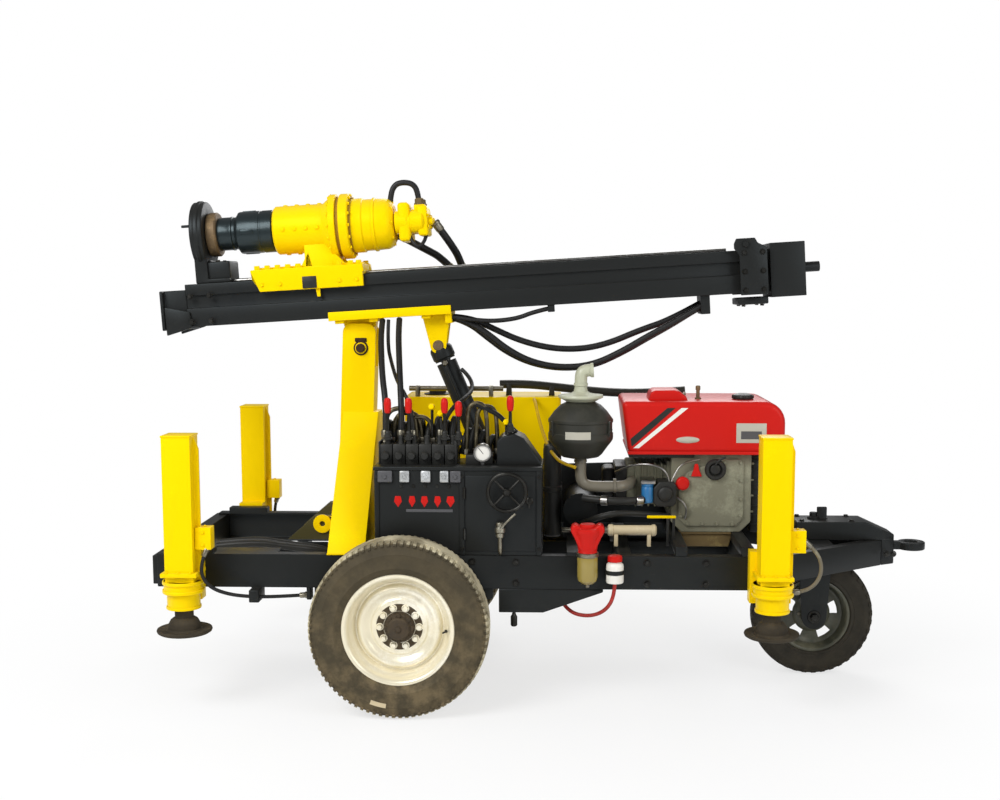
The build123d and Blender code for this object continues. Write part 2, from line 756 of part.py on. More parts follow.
# Axle beam with its stubs, and the leaf springs that carry it
with BuildPart() as axle:
    with Locations((AXLE_X, 0, AXLE_Z)):
        Box(AXLE_BEAM, 2 * AXLE_BEAM_END_Y, AXLE_BEAM)
    with BuildSketch(Plane.XZ.offset(-STUB_END_Y)):
        with Locations((AXLE_X, AXLE_Z)):
            Circle(STUB_R)
    extrude(amount=2 * STUB_END_Y)
axle.part.label = "axle"
export_step(axle.part, "parts/axle.step")

with BuildPart() as leaf_springs:
    for side, sign in SIDES:
        with BuildSketch(Plane.XZ.offset(-sign * RAIL_Y - SPRING_WIDTH / 2)):
            with BuildLine():
                saddle_z = AXLE_Z + AXLE_BEAM / 2
                end_z = RAIL_BOTTOM_Z - HANGER
                ThreePointArc(
                    (AXLE_X - SPRING_HALF_LENGTH, end_z),
                    (AXLE_X, saddle_z),
                    (AXLE_X + SPRING_HALF_LENGTH, end_z),
                )
                Line((AXLE_X + SPRING_HALF_LENGTH, end_z), (AXLE_X + SPRING_HALF_LENGTH, RAIL_BOTTOM_Z))
                Line(
                    (AXLE_X + SPRING_HALF_LENGTH, RAIL_BOTTOM_Z),
                    (AXLE_X + SPRING_HALF_LENGTH - HANGER, RAIL_BOTTOM_Z),
                )
                ThreePointArc(
                    (AXLE_X + SPRING_HALF_LENGTH - HANGER, RAIL_BOTTOM_Z),
                    (AXLE_X, saddle_z + SPRING_THICKNESS),
                    (AXLE_X - SPRING_HALF_LENGTH + HANGER, RAIL_BOTTOM_Z),
                )
                Line(
                    (AXLE_X - SPRING_HALF_LENGTH + HANGER, RAIL_BOTTOM_Z),
                    (AXLE_X - SPRING_HALF_LENGTH, RAIL_BOTTOM_Z),
                )
                Line((AXLE_X - SPRING_HALF_LENGTH, RAIL_BOTTOM_Z), (AXLE_X - SPRING_HALF_LENGTH, end_z))
            make_face()
        extrude(amount=SPRING_WIDTH)
leaf_springs.part.label = "leaf_springs"
export_step(leaf_springs.part, "parts/leaf_springs.step")

# Main wheels: half sections in the YZ plane through the axle, turned about it
for side, sign in SIDES:
    outer_y = sign * (WHEEL_Y + TYRE_WIDTH / 2)
    inner_y = sign * (WHEEL_Y - TYRE_WIDTH / 2)
    bead_out = sign * (WHEEL_Y + RIM_WIDTH / 2)
    bead_in = sign * (WHEEL_Y - RIM_WIDTH / 2)
    seat_r = RIM_R + RIM_SEAT_GAP
    axle_line = Axis((AXLE_X, 0, AXLE_Z), (0, 1, 0))
    with BuildPart() as tyre:
        with BuildSketch(Plane(origin=(AXLE_X, 0, AXLE_Z), x_dir=(0, 1, 0), z_dir=(1, 0, 0))):
            with BuildLine():
                Line((bead_in, seat_r), (bead_out, seat_r))
                ThreePointArc(
                    (bead_out, seat_r),
                    (outer_y, (seat_r + TYRE_R) / 2),
                    (sign * (WHEEL_Y + TYRE_SHOULDER), TYRE_R - TYRE_CROWN),
                )
                ThreePointArc(
                    (sign * (WHEEL_Y + TYRE_SHOULDER), TYRE_R - TYRE_CROWN),
                    (sign * WHEEL_Y, TYRE_R),
                    (sign * (WHEEL_Y - TYRE_SHOULDER), TYRE_R - TYRE_CROWN),
                )
                ThreePointArc(
                    (sign * (WHEEL_Y - TYRE_SHOULDER), TYRE_R - TYRE_CROWN),
                    (inner_y, (seat_r + TYRE_R) / 2),
                    (bead_in, seat_r),
                )
            make_face()
        revolve(axis=axle_line)
    tyre.part.label = f"main_tyre_{side}"
    export_step(tyre.part, f"parts/main_tyre_{side}.step")

    with BuildPart() as rim:
        with BuildSketch(Plane(origin=(AXLE_X, 0, AXLE_Z), x_dir=(0, 1, 0), z_dir=(1, 0, 0))):
            with BuildLine():
                Polyline(
                    (sign * HUB_INNER_Y, STUB_R + SHAFT_GAP),
                    (sign * HUB_INNER_Y, HUB_R + HUB_FLANGE),
                    (sign * (HUB_INNER_Y + HUB_FLANGE_DEPTH), HUB_R + HUB_FLANGE),
                    (sign * (HUB_INNER_Y + HUB_FLANGE_DEPTH), DISH_R - DISH_BACK),
                    (bead_in, DISH_R + DISH_RISE),
                    (bead_in, RIM_R),
                    (bead_out, RIM_R),
                    (bead_out, RIM_R - RIM_WALL),
                    (sign * (WHEEL_Y + DISH_BACK), DISH_R + DISH_RISE),
                    (sign * (WHEEL_Y + 2 * DISH_BACK), DISH_R),
                    (sign * WHEEL_Y, HUB_R + NUT_RING),
                    (sign * WHEEL_Y, HUB_R),
                    (sign * HUB_CAP_Y, HUB_R),
                    (sign * HUB_CAP_Y, 0),
                    (sign * (STUB_END_Y + HUB_END_GAP), 0),
                    (sign * (STUB_END_Y + HUB_END_GAP), STUB_R + SHAFT_GAP),
                    close=True,
                )
            make_face()
        revolve(axis=axle_line)
    rim.part.label = f"main_rim_{side}"
    export_step(rim.part, f"parts/main_rim_{side}.step")

# Jacks: a square tube with a round sleeve below, a rib and a valve block, and the leg with its foot
for name, jack_x, sign, plate_reach in JACKS:
    jack_y = sign * JACK_Y
    with BuildPart() as jack_tube:
        with BuildSketch(Plane.XY.offset(JACK_TUBE_BOTTOM_Z)):
            with Locations((jack_x, jack_y)):
                Rectangle(JACK_TUBE, JACK_TUBE)
        extrude(amount=JACK_TOP_Z - JACK_TUBE_BOTTOM_Z)
        with BuildSketch(Plane.XY.offset(JACK_COLLAR_BOTTOM_Z)):
            with Locations((jack_x, jack_y)):
                Circle(JACK_COLLAR_R)
        extrude(amount=JACK_TUBE_BOTTOM_Z - JACK_COLLAR_BOTTOM_Z)
        with BuildSketch(Plane.XY.offset(JACK_SLEEVE_BOTTOM_Z)):
            with Locations((jack_x, jack_y)):
                Circle(JACK_SLEEVE_R)
        extrude(amount=JACK_COLLAR_BOTTOM_Z - JACK_SLEEVE_BOTTOM_Z)
        with BuildSketch(Plane.XZ.offset(-jack_y - JACK_RIB_WALL / 2)):
            with BuildLine():
                face_x = jack_x + JACK_TUBE / 2
                Polyline(
                    (face_x, JACK_TUBE_BOTTOM_Z),
                    (face_x + JACK_RIB, JACK_TUBE_BOTTOM_Z),
                    (face_x + JACK_RIB, JACK_TOP_Z - JACK_RIB_SLANT),
                    (face_x, JACK_TOP_Z),
                    close=True,
                )
            make_face()
        extrude(amount=JACK_RIB_WALL)
        block_x = jack_x + (JACK_BLOCK_START + JACK_BLOCK_END) / 2
        with Locations((block_x, jack_y, (JACK_BLOCK_BOTTOM_Z + JACK_BLOCK_TOP_Z) / 2)):
            Box(JACK_BLOCK_END - JACK_BLOCK_START, JACK_BLOCK, JACK_BLOCK_TOP_Z - JACK_BLOCK_BOTTOM_Z)
        mount_y = sign * (RAIL_OUTER_Y + JACK_Y - JACK_TUBE / 2) / 2
        mount_depth = JACK_Y - JACK_TUBE / 2 - RAIL_OUTER_Y
        with Locations((jack_x, mount_y, (JACK_MOUNT_BOTTOM_Z + JACK_MOUNT_TOP_Z) / 2)):
            Box(JACK_TUBE + 2 * plate_reach, mount_depth, JACK_MOUNT_TOP_Z - JACK_MOUNT_BOTTOM_Z)
        with BuildSketch(Plane.XY.offset(JACK_SLEEVE_BOTTOM_Z)):
            with Locations((jack_x, jack_y)):
                Circle(JACK_LEG_R + SHAFT_GAP)
        extrude(amount=JACK_BORE_TOP_Z - JACK_SLEEVE_BOTTOM_Z, mode=Mode.SUBTRACT)
    jack_tube.part.label = f"jack_tube_{name}"
    export_step(jack_tube.part, f"parts/jack_tube_{name}.step")

    with BuildPart() as jack_leg:
        with BuildSketch(Plane.XY.offset(JACK_FOOT_BOTTOM_Z)):
            with Locations((jack_x, jack_y)):
                Circle(JACK_LEG_R)
        extrude(amount=JACK_LEG_TOP_Z - JACK_FOOT_BOTTOM_Z)
        with BuildSketch(Plane.XY.offset(JACK_FOOT_BOTTOM_Z)):
            with Locations((jack_x, jack_y)):
                Circle(JACK_FOOT_R)
        extrude(amount=JACK_FOOT_THICKNESS)
        cup_height = JACK_CUP_TOP_Z - JACK_FOOT_BOTTOM_Z - JACK_FOOT_THICKNESS
        with Locations((jack_x, jack_y, JACK_FOOT_BOTTOM_Z + JACK_FOOT_THICKNESS + cup_height / 2)):
            Cone(JACK_CUP_FOOT_R, JACK_CUP_TOP_R, cup_height)
    jack_leg.part.label = f"jack_leg_{name}"
    export_step(jack_leg.part, f"parts/jack_leg_{name}.step")

# Front fork with its king pin, and the front wheel
FORK_OUTER_Y = FORK_INNER_Y + FORK_ARM
with BuildPart() as front_fork:
    for side, sign in SIDES:
        with BuildSketch(Plane.XZ.offset(-sign * (FORK_INNER_Y + FORK_ARM / 2) - FORK_ARM / 2)):
            with BuildLine():
                Line((FRONT_X + FORK_ARM_HUB_R, FRONT_R), (FRONT_X + FORK_ARM_TOP / 2, FORK_TOP_Z))
                Line((FRONT_X + FORK_ARM_TOP / 2, FORK_TOP_Z), (FRONT_X - FORK_ARM_TOP / 2, FORK_TOP_Z))
                Line((FRONT_X - FORK_ARM_TOP / 2, FORK_TOP_Z), (FRONT_X - FORK_ARM_HUB_R, FRONT_R))
                ThreePointArc(
                    (FRONT_X - FORK_ARM_HUB_R, FRONT_R),
                    (FRONT_X, FRONT_R - FORK_ARM_HUB_R),
                    (FRONT_X + FORK_ARM_HUB_R, FRONT_R),
                )
            make_face()
        extrude(amount=FORK_ARM)
    with Locations((FRONT_X, 0, FORK_TOP_Z - FORK_PLATE / 2)):
        Box(FORK_ARM_TOP, 2 * FORK_OUTER_Y, FORK_PLATE)
    with BuildSketch(Plane.XY.offset(FORK_TOP_Z)):
        with Locations((FRONT_X, 0)):
            Circle(KING_R)
    extrude(amount=KING_TOP_Z - FORK_TOP_Z)
    with BuildSketch(Plane.XZ.offset(-FORK_OUTER_Y)):
        with Locations((FRONT_X, FRONT_R)):
            Circle(FRONT_PIN_R)
    extrude(amount=2 * FORK_OUTER_Y)
front_fork.part.label = "front_fork"
export_step(front_fork.part, "parts/front_fork.step")

front_line = Axis((FRONT_X, 0, FRONT_R), (0, 1, 0))
with BuildPart() as front_tyre:
    with BuildSketch(Plane(origin=(FRONT_X, 0, FRONT_R), x_dir=(0, 1, 0), z_dir=(1, 0, 0))):
        with BuildLine():
            seat_r = FRONT_RIM_R + RIM_SEAT_GAP
            half_bead = FRONT_RIM_WIDTH / 2
            half_width = FRONT_WIDTH / 2
            Line((-half_bead, seat_r), (half_bead, seat_r))
            wall_r = (seat_r + FRONT_R) / 2
            crown_r = FRONT_R - FRONT_CROWN
            ThreePointArc((half_bead, seat_r), (half_width, wall_r), (FRONT_SHOULDER, crown_r))
            ThreePointArc((FRONT_SHOULDER, crown_r), (0, FRONT_R), (-FRONT_SHOULDER, crown_r))
            ThreePointArc((-FRONT_SHOULDER, crown_r), (-half_width, wall_r), (-half_bead, seat_r))
        make_face()
    revolve(axis=front_line)
front_tyre.part.label = "front_tyre"
export_step(front_tyre.part, "parts/front_tyre.step")

with BuildPart() as front_rim:
    with BuildSketch(Plane(origin=(FRONT_X, 0, FRONT_R), x_dir=(0, 1, 0), z_dir=(1, 0, 0))):
        with BuildLine():
            Polyline(
                (-FRONT_HUB_HALF, FRONT_PIN_R + SHAFT_GAP),
                (-FRONT_HUB_HALF, FRONT_HUB_R),
                (-FRONT_DISC_HALF, FRONT_HUB_R),
                (-FRONT_DISC_HALF, FRONT_RIM_R - FRONT_WELL),
                (-half_bead, FRONT_RIM_R - RIM_WALL),
                (-half_bead, FRONT_RIM_R),
                (half_bead, FRONT_RIM_R),
                (half_bead, FRONT_RIM_R - RIM_WALL),
                (FRONT_DISC_HALF, FRONT_RIM_R - FRONT_WELL),
                (FRONT_DISC_HALF, FRONT_HUB_R),
                (FRONT_HUB_HALF, FRONT_HUB_R),
                (FRONT_HUB_HALF, FRONT_PIN_R + SHAFT_GAP),
                close=True,
            )
        make_face()
    revolve(axis=front_line)
front_rim.part.label = "front_rim"
export_step(front_rim.part, "parts/front_rim.step")

# Mast beam: a chord below, a narrower web and the guide rail on top, with the hoses' clips under it
with BuildPart() as mast_beam:
    with BuildSketch(section_plane(BEAM_START_S)):
        with Locations((0, MAST_BASE_H + CHORD_DEPTH / 2)):
            Rectangle(2 * CHORD_HALF_WIDTH, CHORD_DEPTH)
        with Locations((0, MAST_BASE_H + MAST_DEPTH / 2)):
            Rectangle(2 * WEB_HALF_WIDTH, MAST_DEPTH)
        with Locations((0, MAST_TOP_H - GUIDE_DEPTH / 2)):
            Rectangle(2 * GUIDE_HALF_WIDTH, GUIDE_DEPTH)
    extrude(amount=BEAM_END_S - BEAM_START_S)
    for start_s, end_s, half_width, centre_y, bottom_h in BEAM_CLIPS:
        with BuildSketch(section_plane(start_s)):
            with Locations((centre_y, (bottom_h + MAST_BASE_H) / 2)):
                Rectangle(2 * half_width, MAST_BASE_H - bottom_h)
        extrude(amount=end_s - start_s)
mast_beam.part.label = "mast_beam"
export_step(mast_beam.part, "parts/mast_beam.step")

# Mast foot: the flanged bracket on the beam's lower end
with BuildPart() as mast_foot:
    with BuildSketch(section_plane(BEAM_START_S - FOOT_LENGTH)):
        with Locations((0, (FOOT_BASE_H + FOOT_TOP_H) / 2)):
            Rectangle(2 * FOOT_HALF_WIDTH, FOOT_TOP_H - FOOT_BASE_H)
    extrude(amount=14)
    with BuildSketch(section_plane(BEAM_START_S - FOOT_LENGTH + 14)):
        with Locations((0, (FOOT_BASE_H + FOOT_TOP_H) / 2)):
            Rectangle(1.5 * FOOT_HALF_WIDTH, FOOT_TOP_H - FOOT_BASE_H)
    extrude(amount=FOOT_LENGTH - 14)
mast_foot.part.label = "mast_foot"
export_step(mast_foot.part, "parts/mast_foot.step")

# Mast head: the sheave block on the beam's upper end, with two pins
with BuildPart() as mast_head:
    with BuildSketch(section_plane(BEAM_END_S)):
        with Locations((0, (HEAD_BASE_H + HEAD_TOP_H) / 2)):
            Rectangle(2 * HEAD_BLOCK_HALF_WIDTH, HEAD_TOP_H - HEAD_BASE_H)
    extrude(amount=HEAD_LENGTH)
    with BuildSketch(section_plane(BEAM_END_S + HEAD_LENGTH)):
        with Locations((-SHEAVE_PIN_Y, SHEAVE_PIN_H), (SHEAVE_PIN_Y, SHEAVE_PIN_H)):
            Circle(SHEAVE_PIN_R)
    extrude(amount=SHEAVE_PIN_LENGTH)
mast_head.part.label = "mast_head"
export_step(mast_head.part, "parts/mast_head.step")

# Rod guide: a standing ring round the drill axis
with BuildPart() as rod_guide:
    ring_start = GUIDE_RING_S - GUIDE_RING_THICKNESS / 2
    with BuildSketch(section_plane(ring_start)):
        with Locations((0, DRILL_H)):
            Circle(GUIDE_RING_R)
        with Locations((0, (DRILL_H + MAST_TOP_H) / 2)):
            Rectangle(2 * GUIDE_STEM_HALF_WIDTH, DRILL_H - MAST_TOP_H)
        with Locations((0, DRILL_H)):
            Circle(GUIDE_BORE_R, mode=Mode.SUBTRACT)
        with Locations((0, MAST_TOP_H - GUIDE_RING_R)):
            Rectangle(2 * GUIDE_RING_R, 2 * GUIDE_RING_R, mode=Mode.SUBTRACT)
    extrude(amount=GUIDE_RING_THICKNESS)
    with BuildSketch(section_plane(ring_start)):
        with Locations((0, MAST_TOP_H + GUIDE_BASE_DEPTH / 2)):
            Rectangle(2 * GUIDE_STEM_HALF_WIDTH, GUIDE_BASE_DEPTH)
    extrude(amount=GUIDE_BASE_LENGTH)
rod_guide.part.label = "rod_guide"
export_step(rod_guide.part, "parts/rod_guide.step")

# Cradle under the mast, with the pivot lug and the tilt cylinder's clevis
with BuildPart() as mast_cradle:
    with BuildSketch(section_plane(CRADLE_START_S)):
        with Locations((0, MAST_BASE_H - CRADLE_PLATE / 2)):
            Rectangle(2 * (CHORD_HALF_WIDTH + CRADLE_WALL), CRADLE_PLATE)
        for sign in (-1, 1):
            with Locations((sign * (CHORD_HALF_WIDTH + CRADLE_WALL / 2), (MAST_BASE_H + CRADLE_SIDE_H) / 2)):
                Rectangle(CRADLE_WALL, CRADLE_SIDE_H - MAST_BASE_H)
    extrude(amount=CRADLE_END_S - CRADLE_START_S)
    plate_h = MAST_BASE_H - CRADLE_PLATE
    with BuildSketch(section_plane(CRADLE_END_S - HOSE_BLOCK_LENGTH)):
        with Locations((0, plate_h - HOSE_BLOCK_DEPTH / 2)):
            Rectangle(2 * HOSE_BLOCK_HALF, HOSE_BLOCK_DEPTH)
    extrude(amount=HOSE_BLOCK_LENGTH)
    with BuildSketch(mast_plane(LUG_HALF_WIDTH)):
        Circle(LUG_R)
        with BuildLine():
            Polyline((-LUG_R, 0), (LUG_R, 0), (LUG_FOOT, plate_h), (-LUG_FOOT, plate_h), close=True)
        make_face()
        Circle(PIVOT_PIN_R + SHAFT_GAP, mode=Mode.SUBTRACT)
    extrude(amount=2 * LUG_HALF_WIDTH)
    for ear_y in (CLEVIS_INNER_Y + CLEVIS_WALL, -CLEVIS_INNER_Y):
        with BuildSketch(mast_plane(ear_y)):
            with Locations((TILT_EYE_S, TILT_EYE_H)):
                Circle(CLEVIS_R)
            with BuildLine():
                Polyline(
                    (TILT_EYE_S - CLEVIS_R, TILT_EYE_H),
                    (TILT_EYE_S + CLEVIS_R, TILT_EYE_H),
                    (TILT_EYE_S + CLEVIS_FOOT, plate_h),
                    (TILT_EYE_S - CLEVIS_FOOT, plate_h),
                    close=True,
                )
            make_face()
        extrude(amount=CLEVIS_WALL)
mast_cradle.part.label = "mast_cradle"
export_step(mast_cradle.part, "parts/mast_cradle.step")

# Tilt cylinder: barrel and rod along the line from the foot pin to the clevis
TILT = math.radians(TRAVEL_TILT)
EYE_REST_X = PIVOT_X + TILT_EYE_S * math.cos(TILT) - TILT_EYE_H * math.sin(TILT)
EYE_REST_Z = PIVOT_Z + TILT_EYE_S * math.sin(TILT) + TILT_EYE_H * math.cos(TILT)
CLOSED_LENGTH = math.hypot(EYE_REST_X - TILT_BASE_X, EYE_REST_Z - TILT_BASE_Z)
BARREL_LENGTH = CLOSED_LENGTH - ROD_SHOWING
ALONG_X = (EYE_REST_X - TILT_BASE_X) / CLOSED_LENGTH
ALONG_Z = (EYE_REST_Z - TILT_BASE_Z) / CLOSED_LENGTH


def cylinder_plane(distance):
    """A plane square to the tilt cylinder, at a distance from its foot pin."""
    origin = (TILT_BASE_X + ALONG_X * distance, 0, TILT_BASE_Z + ALONG_Z * distance)
    return Plane(origin=origin, x_dir=(0, 1, 0), z_dir=(ALONG_X, 0, ALONG_Z))


with BuildPart() as tilt_barrel:
    with BuildSketch(cylinder_plane(BARREL_NECK_START)):
        Circle(BARREL_EYE_HALF)
    extrude(amount=BARREL_START - BARREL_NECK_START)
    with BuildSketch(cylinder_plane(BARREL_START)):
        Circle(BARREL_R)
    extrude(amount=BARREL_LENGTH - BARREL_START)
    with BuildSketch(Plane.XZ.offset(-BARREL_EYE_HALF)):
        with Locations((TILT_BASE_X, TILT_BASE_Z)):
            Circle(BARREL_EYE_R - 4)
    extrude(amount=2 * BARREL_EYE_HALF)
    with BuildSketch(Plane.XZ.offset(-BARREL_EYE_HALF)):
        with Locations((TILT_BASE_X, TILT_BASE_Z)):
            Circle(TILT_PIN_R + SHAFT_GAP)
    extrude(amount=2 * BARREL_EYE_HALF, mode=Mode.SUBTRACT)
    with BuildSketch(cylinder_plane(TILT_ROD_TAIL - BARREL_BORE_RUN)):
        Circle(TILT_ROD_R + SHAFT_GAP)
    extrude(amount=BARREL_LENGTH - TILT_ROD_TAIL + BARREL_BORE_RUN, mode=Mode.SUBTRACT)
tilt_barrel.part.label = "tilt_barrel"
export_step(tilt_barrel.part, "parts/tilt_barrel.step")

with BuildPart() as tilt_rod:
    with BuildSketch(cylinder_plane(TILT_ROD_TAIL)):
        Circle(TILT_ROD_R)
    extrude(amount=CLOSED_LENGTH - TILT_ROD_TAIL)
    with BuildSketch(Plane.XZ.offset(-ROD_EYE_HALF)):
        with Locations((EYE_REST_X, EYE_REST_Z)):
            Circle(ROD_EYE_R)
    extrude(amount=2 * ROD_EYE_HALF)
tilt_rod.part.label = "tilt_rod"
export_step(tilt_rod.part, "parts/tilt_rod.step")

# Carriage: a sled astride the guide rail, with the saddle of the drill head
with BuildPart() as carriage:
    with BuildSketch(section_plane(SLED_START_S)):
        with Locations((0, (MAST_TOP_H + SLED_GAP + SLED_TOP_H) / 2)):
            Rectangle(2 * (GUIDE_HALF_WIDTH + SLED_GAP + SLED_PLATE), SLED_TOP_H - MAST_TOP_H - SLED_GAP)
        for sign in (-1, 1):
            side_y = sign * (GUIDE_HALF_WIDTH + SLED_GAP + SLED_PLATE / 2)
            with Locations((side_y, (SLED_SIDE_H + SLED_TOP_H) / 2)):
                Rectangle(SLED_PLATE, SLED_TOP_H - SLED_SIDE_H)
    extrude(amount=SLED_END_S - SLED_START_S)
    arm_y = GUIDE_HALF_WIDTH + SLED_GAP + SLED_PLATE
    with BuildSketch(section_plane(ARM_START_S)):
        with Locations((arm_y + ARM_THICKNESS / 2, (ARM_BOTTOM_H + ARM_TOP_H) / 2)):
            Rectangle(ARM_THICKNESS, ARM_TOP_H - ARM_BOTTOM_H)
    extrude(amount=ARM_END_S - ARM_START_S)
    with BuildSketch(section_plane(ARM_BLOCK_START_S)):
        block_y = arm_y + ARM_THICKNESS + ARM_BLOCK_WIDTH / 2
        with Locations((block_y, (ARM_BLOCK_BOTTOM_H + ARM_BLOCK_TOP_H) / 2)):
            Rectangle(ARM_BLOCK_WIDTH, ARM_BLOCK_TOP_H - ARM_BLOCK_BOTTOM_H)
    extrude(amount=ARM_END_S - ARM_BLOCK_START_S)
    with BuildSketch(drill_plane(SLED_START_S)):
        Circle(FLANGE_R)
    extrude(amount=SLED_END_S - SLED_START_S, mode=Mode.SUBTRACT)
    with BuildSketch(section_plane(SADDLE_START_S)):
        with Locations((0, (SLED_TOP_H + DRILL_H) / 2)):
            Rectangle(2 * SADDLE_HALF_WIDTH, DRILL_H - SLED_TOP_H)
        with Locations((0, DRILL_H)):
            Circle(GEAR_R, mode=Mode.SUBTRACT)
    extrude(amount=GEAR_END_S - SADDLE_START_S)
carriage.part.label = "feed_carriage"
export_step(carriage.part, "parts/feed_carriage.step")

# Drill head: gear case, bolted flange and rear body, and the hydraulic motors
with BuildPart() as gear_case:
    with BuildSketch(drill_plane(GEAR_START_S)):
        Circle(GEAR_R)
    extrude(amount=GEAR_END_S - GEAR_START_S)
    with BuildSketch(drill_plane(GEAR_END_S)):
        Circle(FLANGE_R)
    extrude(amount=FLANGE_END_S - GEAR_END_S)
    with BuildSketch(drill_plane(FLANGE_END_S)):
        Circle(GEAR_R)
    extrude(amount=REAR_BODY_END_S - FLANGE_END_S)
gear_case.part.label = "gear_case"
export_step(gear_case.part, "parts/gear_case.step")

with BuildPart() as head_motors:
    with BuildSketch(drill_plane(REAR_BODY_END_S)):
        with Locations((-MOTOR_OFFSET, 0), (MOTOR_OFFSET, 0)):
            Circle(MOTOR_R)
    extrude(amount=MOTOR_END_S - REAR_BODY_END_S)
head_motors.part.label = "head_motors"
export_step(head_motors.part, "parts/head_motors.step")

# Spindle: the turning nose with the drill rod's socket
with BuildPart() as spindle:
    with BuildSketch(drill_plane(SPINDLE_START_S)):
        Circle(SPINDLE_NECK_R)
        Circle(SPINDLE_BORE_R, mode=Mode.SUBTRACT)
    extrude(amount=SPINDLE_BORE_DEPTH)
    with BuildSketch(drill_plane(SPINDLE_START_S + SPINDLE_BORE_DEPTH)):
        Circle(SPINDLE_NECK_R)
    extrude(amount=SPINDLE_NECK_S - SPINDLE_START_S - SPINDLE_BORE_DEPTH)
    with BuildSketch(drill_plane(SPINDLE_NECK_S)):
        Circle(SPINDLE_R)
    extrude(amount=GEAR_START_S - SPINDLE_GAP - SPINDLE_NECK_S)
spindle.part.label = "spindle"
export_step(spindle.part, "parts/spindle.step")

# Control console with its valve block, levers, gauge and handwheel
with BuildPart() as console:
    with Locations(
        (
            (CONSOLE_START_X + CONSOLE_END_X) / 2,
            (CONSOLE_FRONT_Y + CONSOLE_BACK_Y) / 2,
            (RAIL_TOP_Z + CONSOLE_TOP_Z) / 2,
        )
    ):
        Box(CONSOLE_END_X - CONSOLE_START_X, CONSOLE_BACK_Y - CONSOLE_FRONT_Y, CONSOLE_TOP_Z - RAIL_TOP_Z)
console.part.label = "console"
export_step(console.part, "parts/console.step")

with BuildPart() as valve_block:
    with Locations(((VALVE_START_X + VALVE_END_X) / 2, VALVE_Y, (CONSOLE_TOP_Z + VALVE_TOP_Z) / 2)):
        Box(VALVE_END_X - VALVE_START_X, VALVE_DEPTH, VALVE_TOP_Z - CONSOLE_TOP_Z)
    for lever_x, knob_z in LEVERS:
        foot_z = VALVE_TOP_Z if lever_x < VALVE_END_X else CONSOLE_TOP_Z
        with BuildSketch(Plane.XY.offset(foot_z)):
            with Locations((lever_x, LEVER_Y)):
                Circle(LEVER_R)
        extrude(amount=knob_z - foot_z)
        with BuildSketch(Plane.XY.offset(knob_z)):
            with Locations((lever_x, LEVER_Y)):
                Circle(KNOB_R)
        extrude(amount=KNOB_LENGTH)
valve_block.part.label = "valve_block"
export_step(valve_block.part, "parts/valve_block.step")

with BuildPart() as console_fittings:
    with BuildSketch(Plane.XZ.offset(-GAUGE_Y)):
        with Locations((GAUGE_X, GAUGE_Z)):
            Circle(GAUGE_R)
    extrude(amount=-GAUGE_DEPTH)
    with BuildSketch(Plane.XY.offset(CONSOLE_TOP_Z)):
        with Locations((GAUGE_X, GAUGE_Y + GAUGE_DEPTH / 2)):
            Circle(GAUGE_STEM_R)
    extrude(amount=GAUGE_Z - GAUGE_R / 2 - CONSOLE_TOP_Z)
    with Locations(Location((HANDWHEEL_X, CONSOLE_FRONT_Y - HANDWHEEL_REACH, HANDWHEEL_Z), (90, 0, 0))):
        Torus(HANDWHEEL_R - HANDWHEEL_RIM_R, HANDWHEEL_RIM_R)
    with BuildSketch(Plane.XZ.offset(-CONSOLE_FRONT_Y)):
        with Locations((HANDWHEEL_X, HANDWHEEL_Z)):
            Circle(HANDWHEEL_HUB_R)
    extrude(amount=HANDWHEEL_REACH + HANDWHEEL_RIM_R)
    with Locations((HANDWHEEL_X, CONSOLE_FRONT_Y - HANDWHEEL_REACH, HANDWHEEL_Z)):
        spoke = 2 * (HANDWHEEL_R - HANDWHEEL_RIM_R)
        Box(spoke, HANDWHEEL_RIM_R, HANDWHEEL_HUB_R)
        Box(HANDWHEEL_HUB_R, HANDWHEEL_RIM_R, spoke)
console_fittings.part.label = "console_fittings"
export_step(console_fittings.part, "parts/console_fittings.step")

# Belly box hung below the near rail, with its sloped gusset
with BuildPart() as belly_box:
    with BuildSketch(Plane.XZ.offset(-BELLY_NEAR_Y - BELLY_DEPTH)):
        with BuildLine():
            Polyline(
                (BELLY_START_X, RAIL_BOTTOM_Z),
                (BELLY_START_X, BELLY_BOTTOM_Z),
                (BELLY_END_X, BELLY_BOTTOM_Z),
                (BELLY_TIP_X, RAIL_BOTTOM_Z - BELLY_TIP_DEPTH),
                (BELLY_TIP_X, RAIL_BOTTOM_Z),
                close=True,
            )
        make_face()
    extrude(amount=BELLY_DEPTH)
belly_box.part.label = "belly_box"
export_step(belly_box.part, "parts/belly_box.step")

# Oil tank on the far rail
with BuildPart() as oil_tank:
    with Locations(
        (
            (TANK_START_X + TANK_END_X) / 2,
            (TANK_NEAR_Y + TANK_FAR_Y) / 2,
            (TANK_BOTTOM_Z + TANK_TOP_Z) / 2,
        )
    ):
        Box(TANK_END_X - TANK_START_X, TANK_FAR_Y - TANK_NEAR_Y, TANK_TOP_Z - TANK_BOTTOM_Z)
    fillet(oil_tank.edges().filter_by(Axis.Z), TANK_FILLET)
oil_tank.part.label = "oil_tank"
export_step(oil_tank.part, "parts/oil_tank.step")

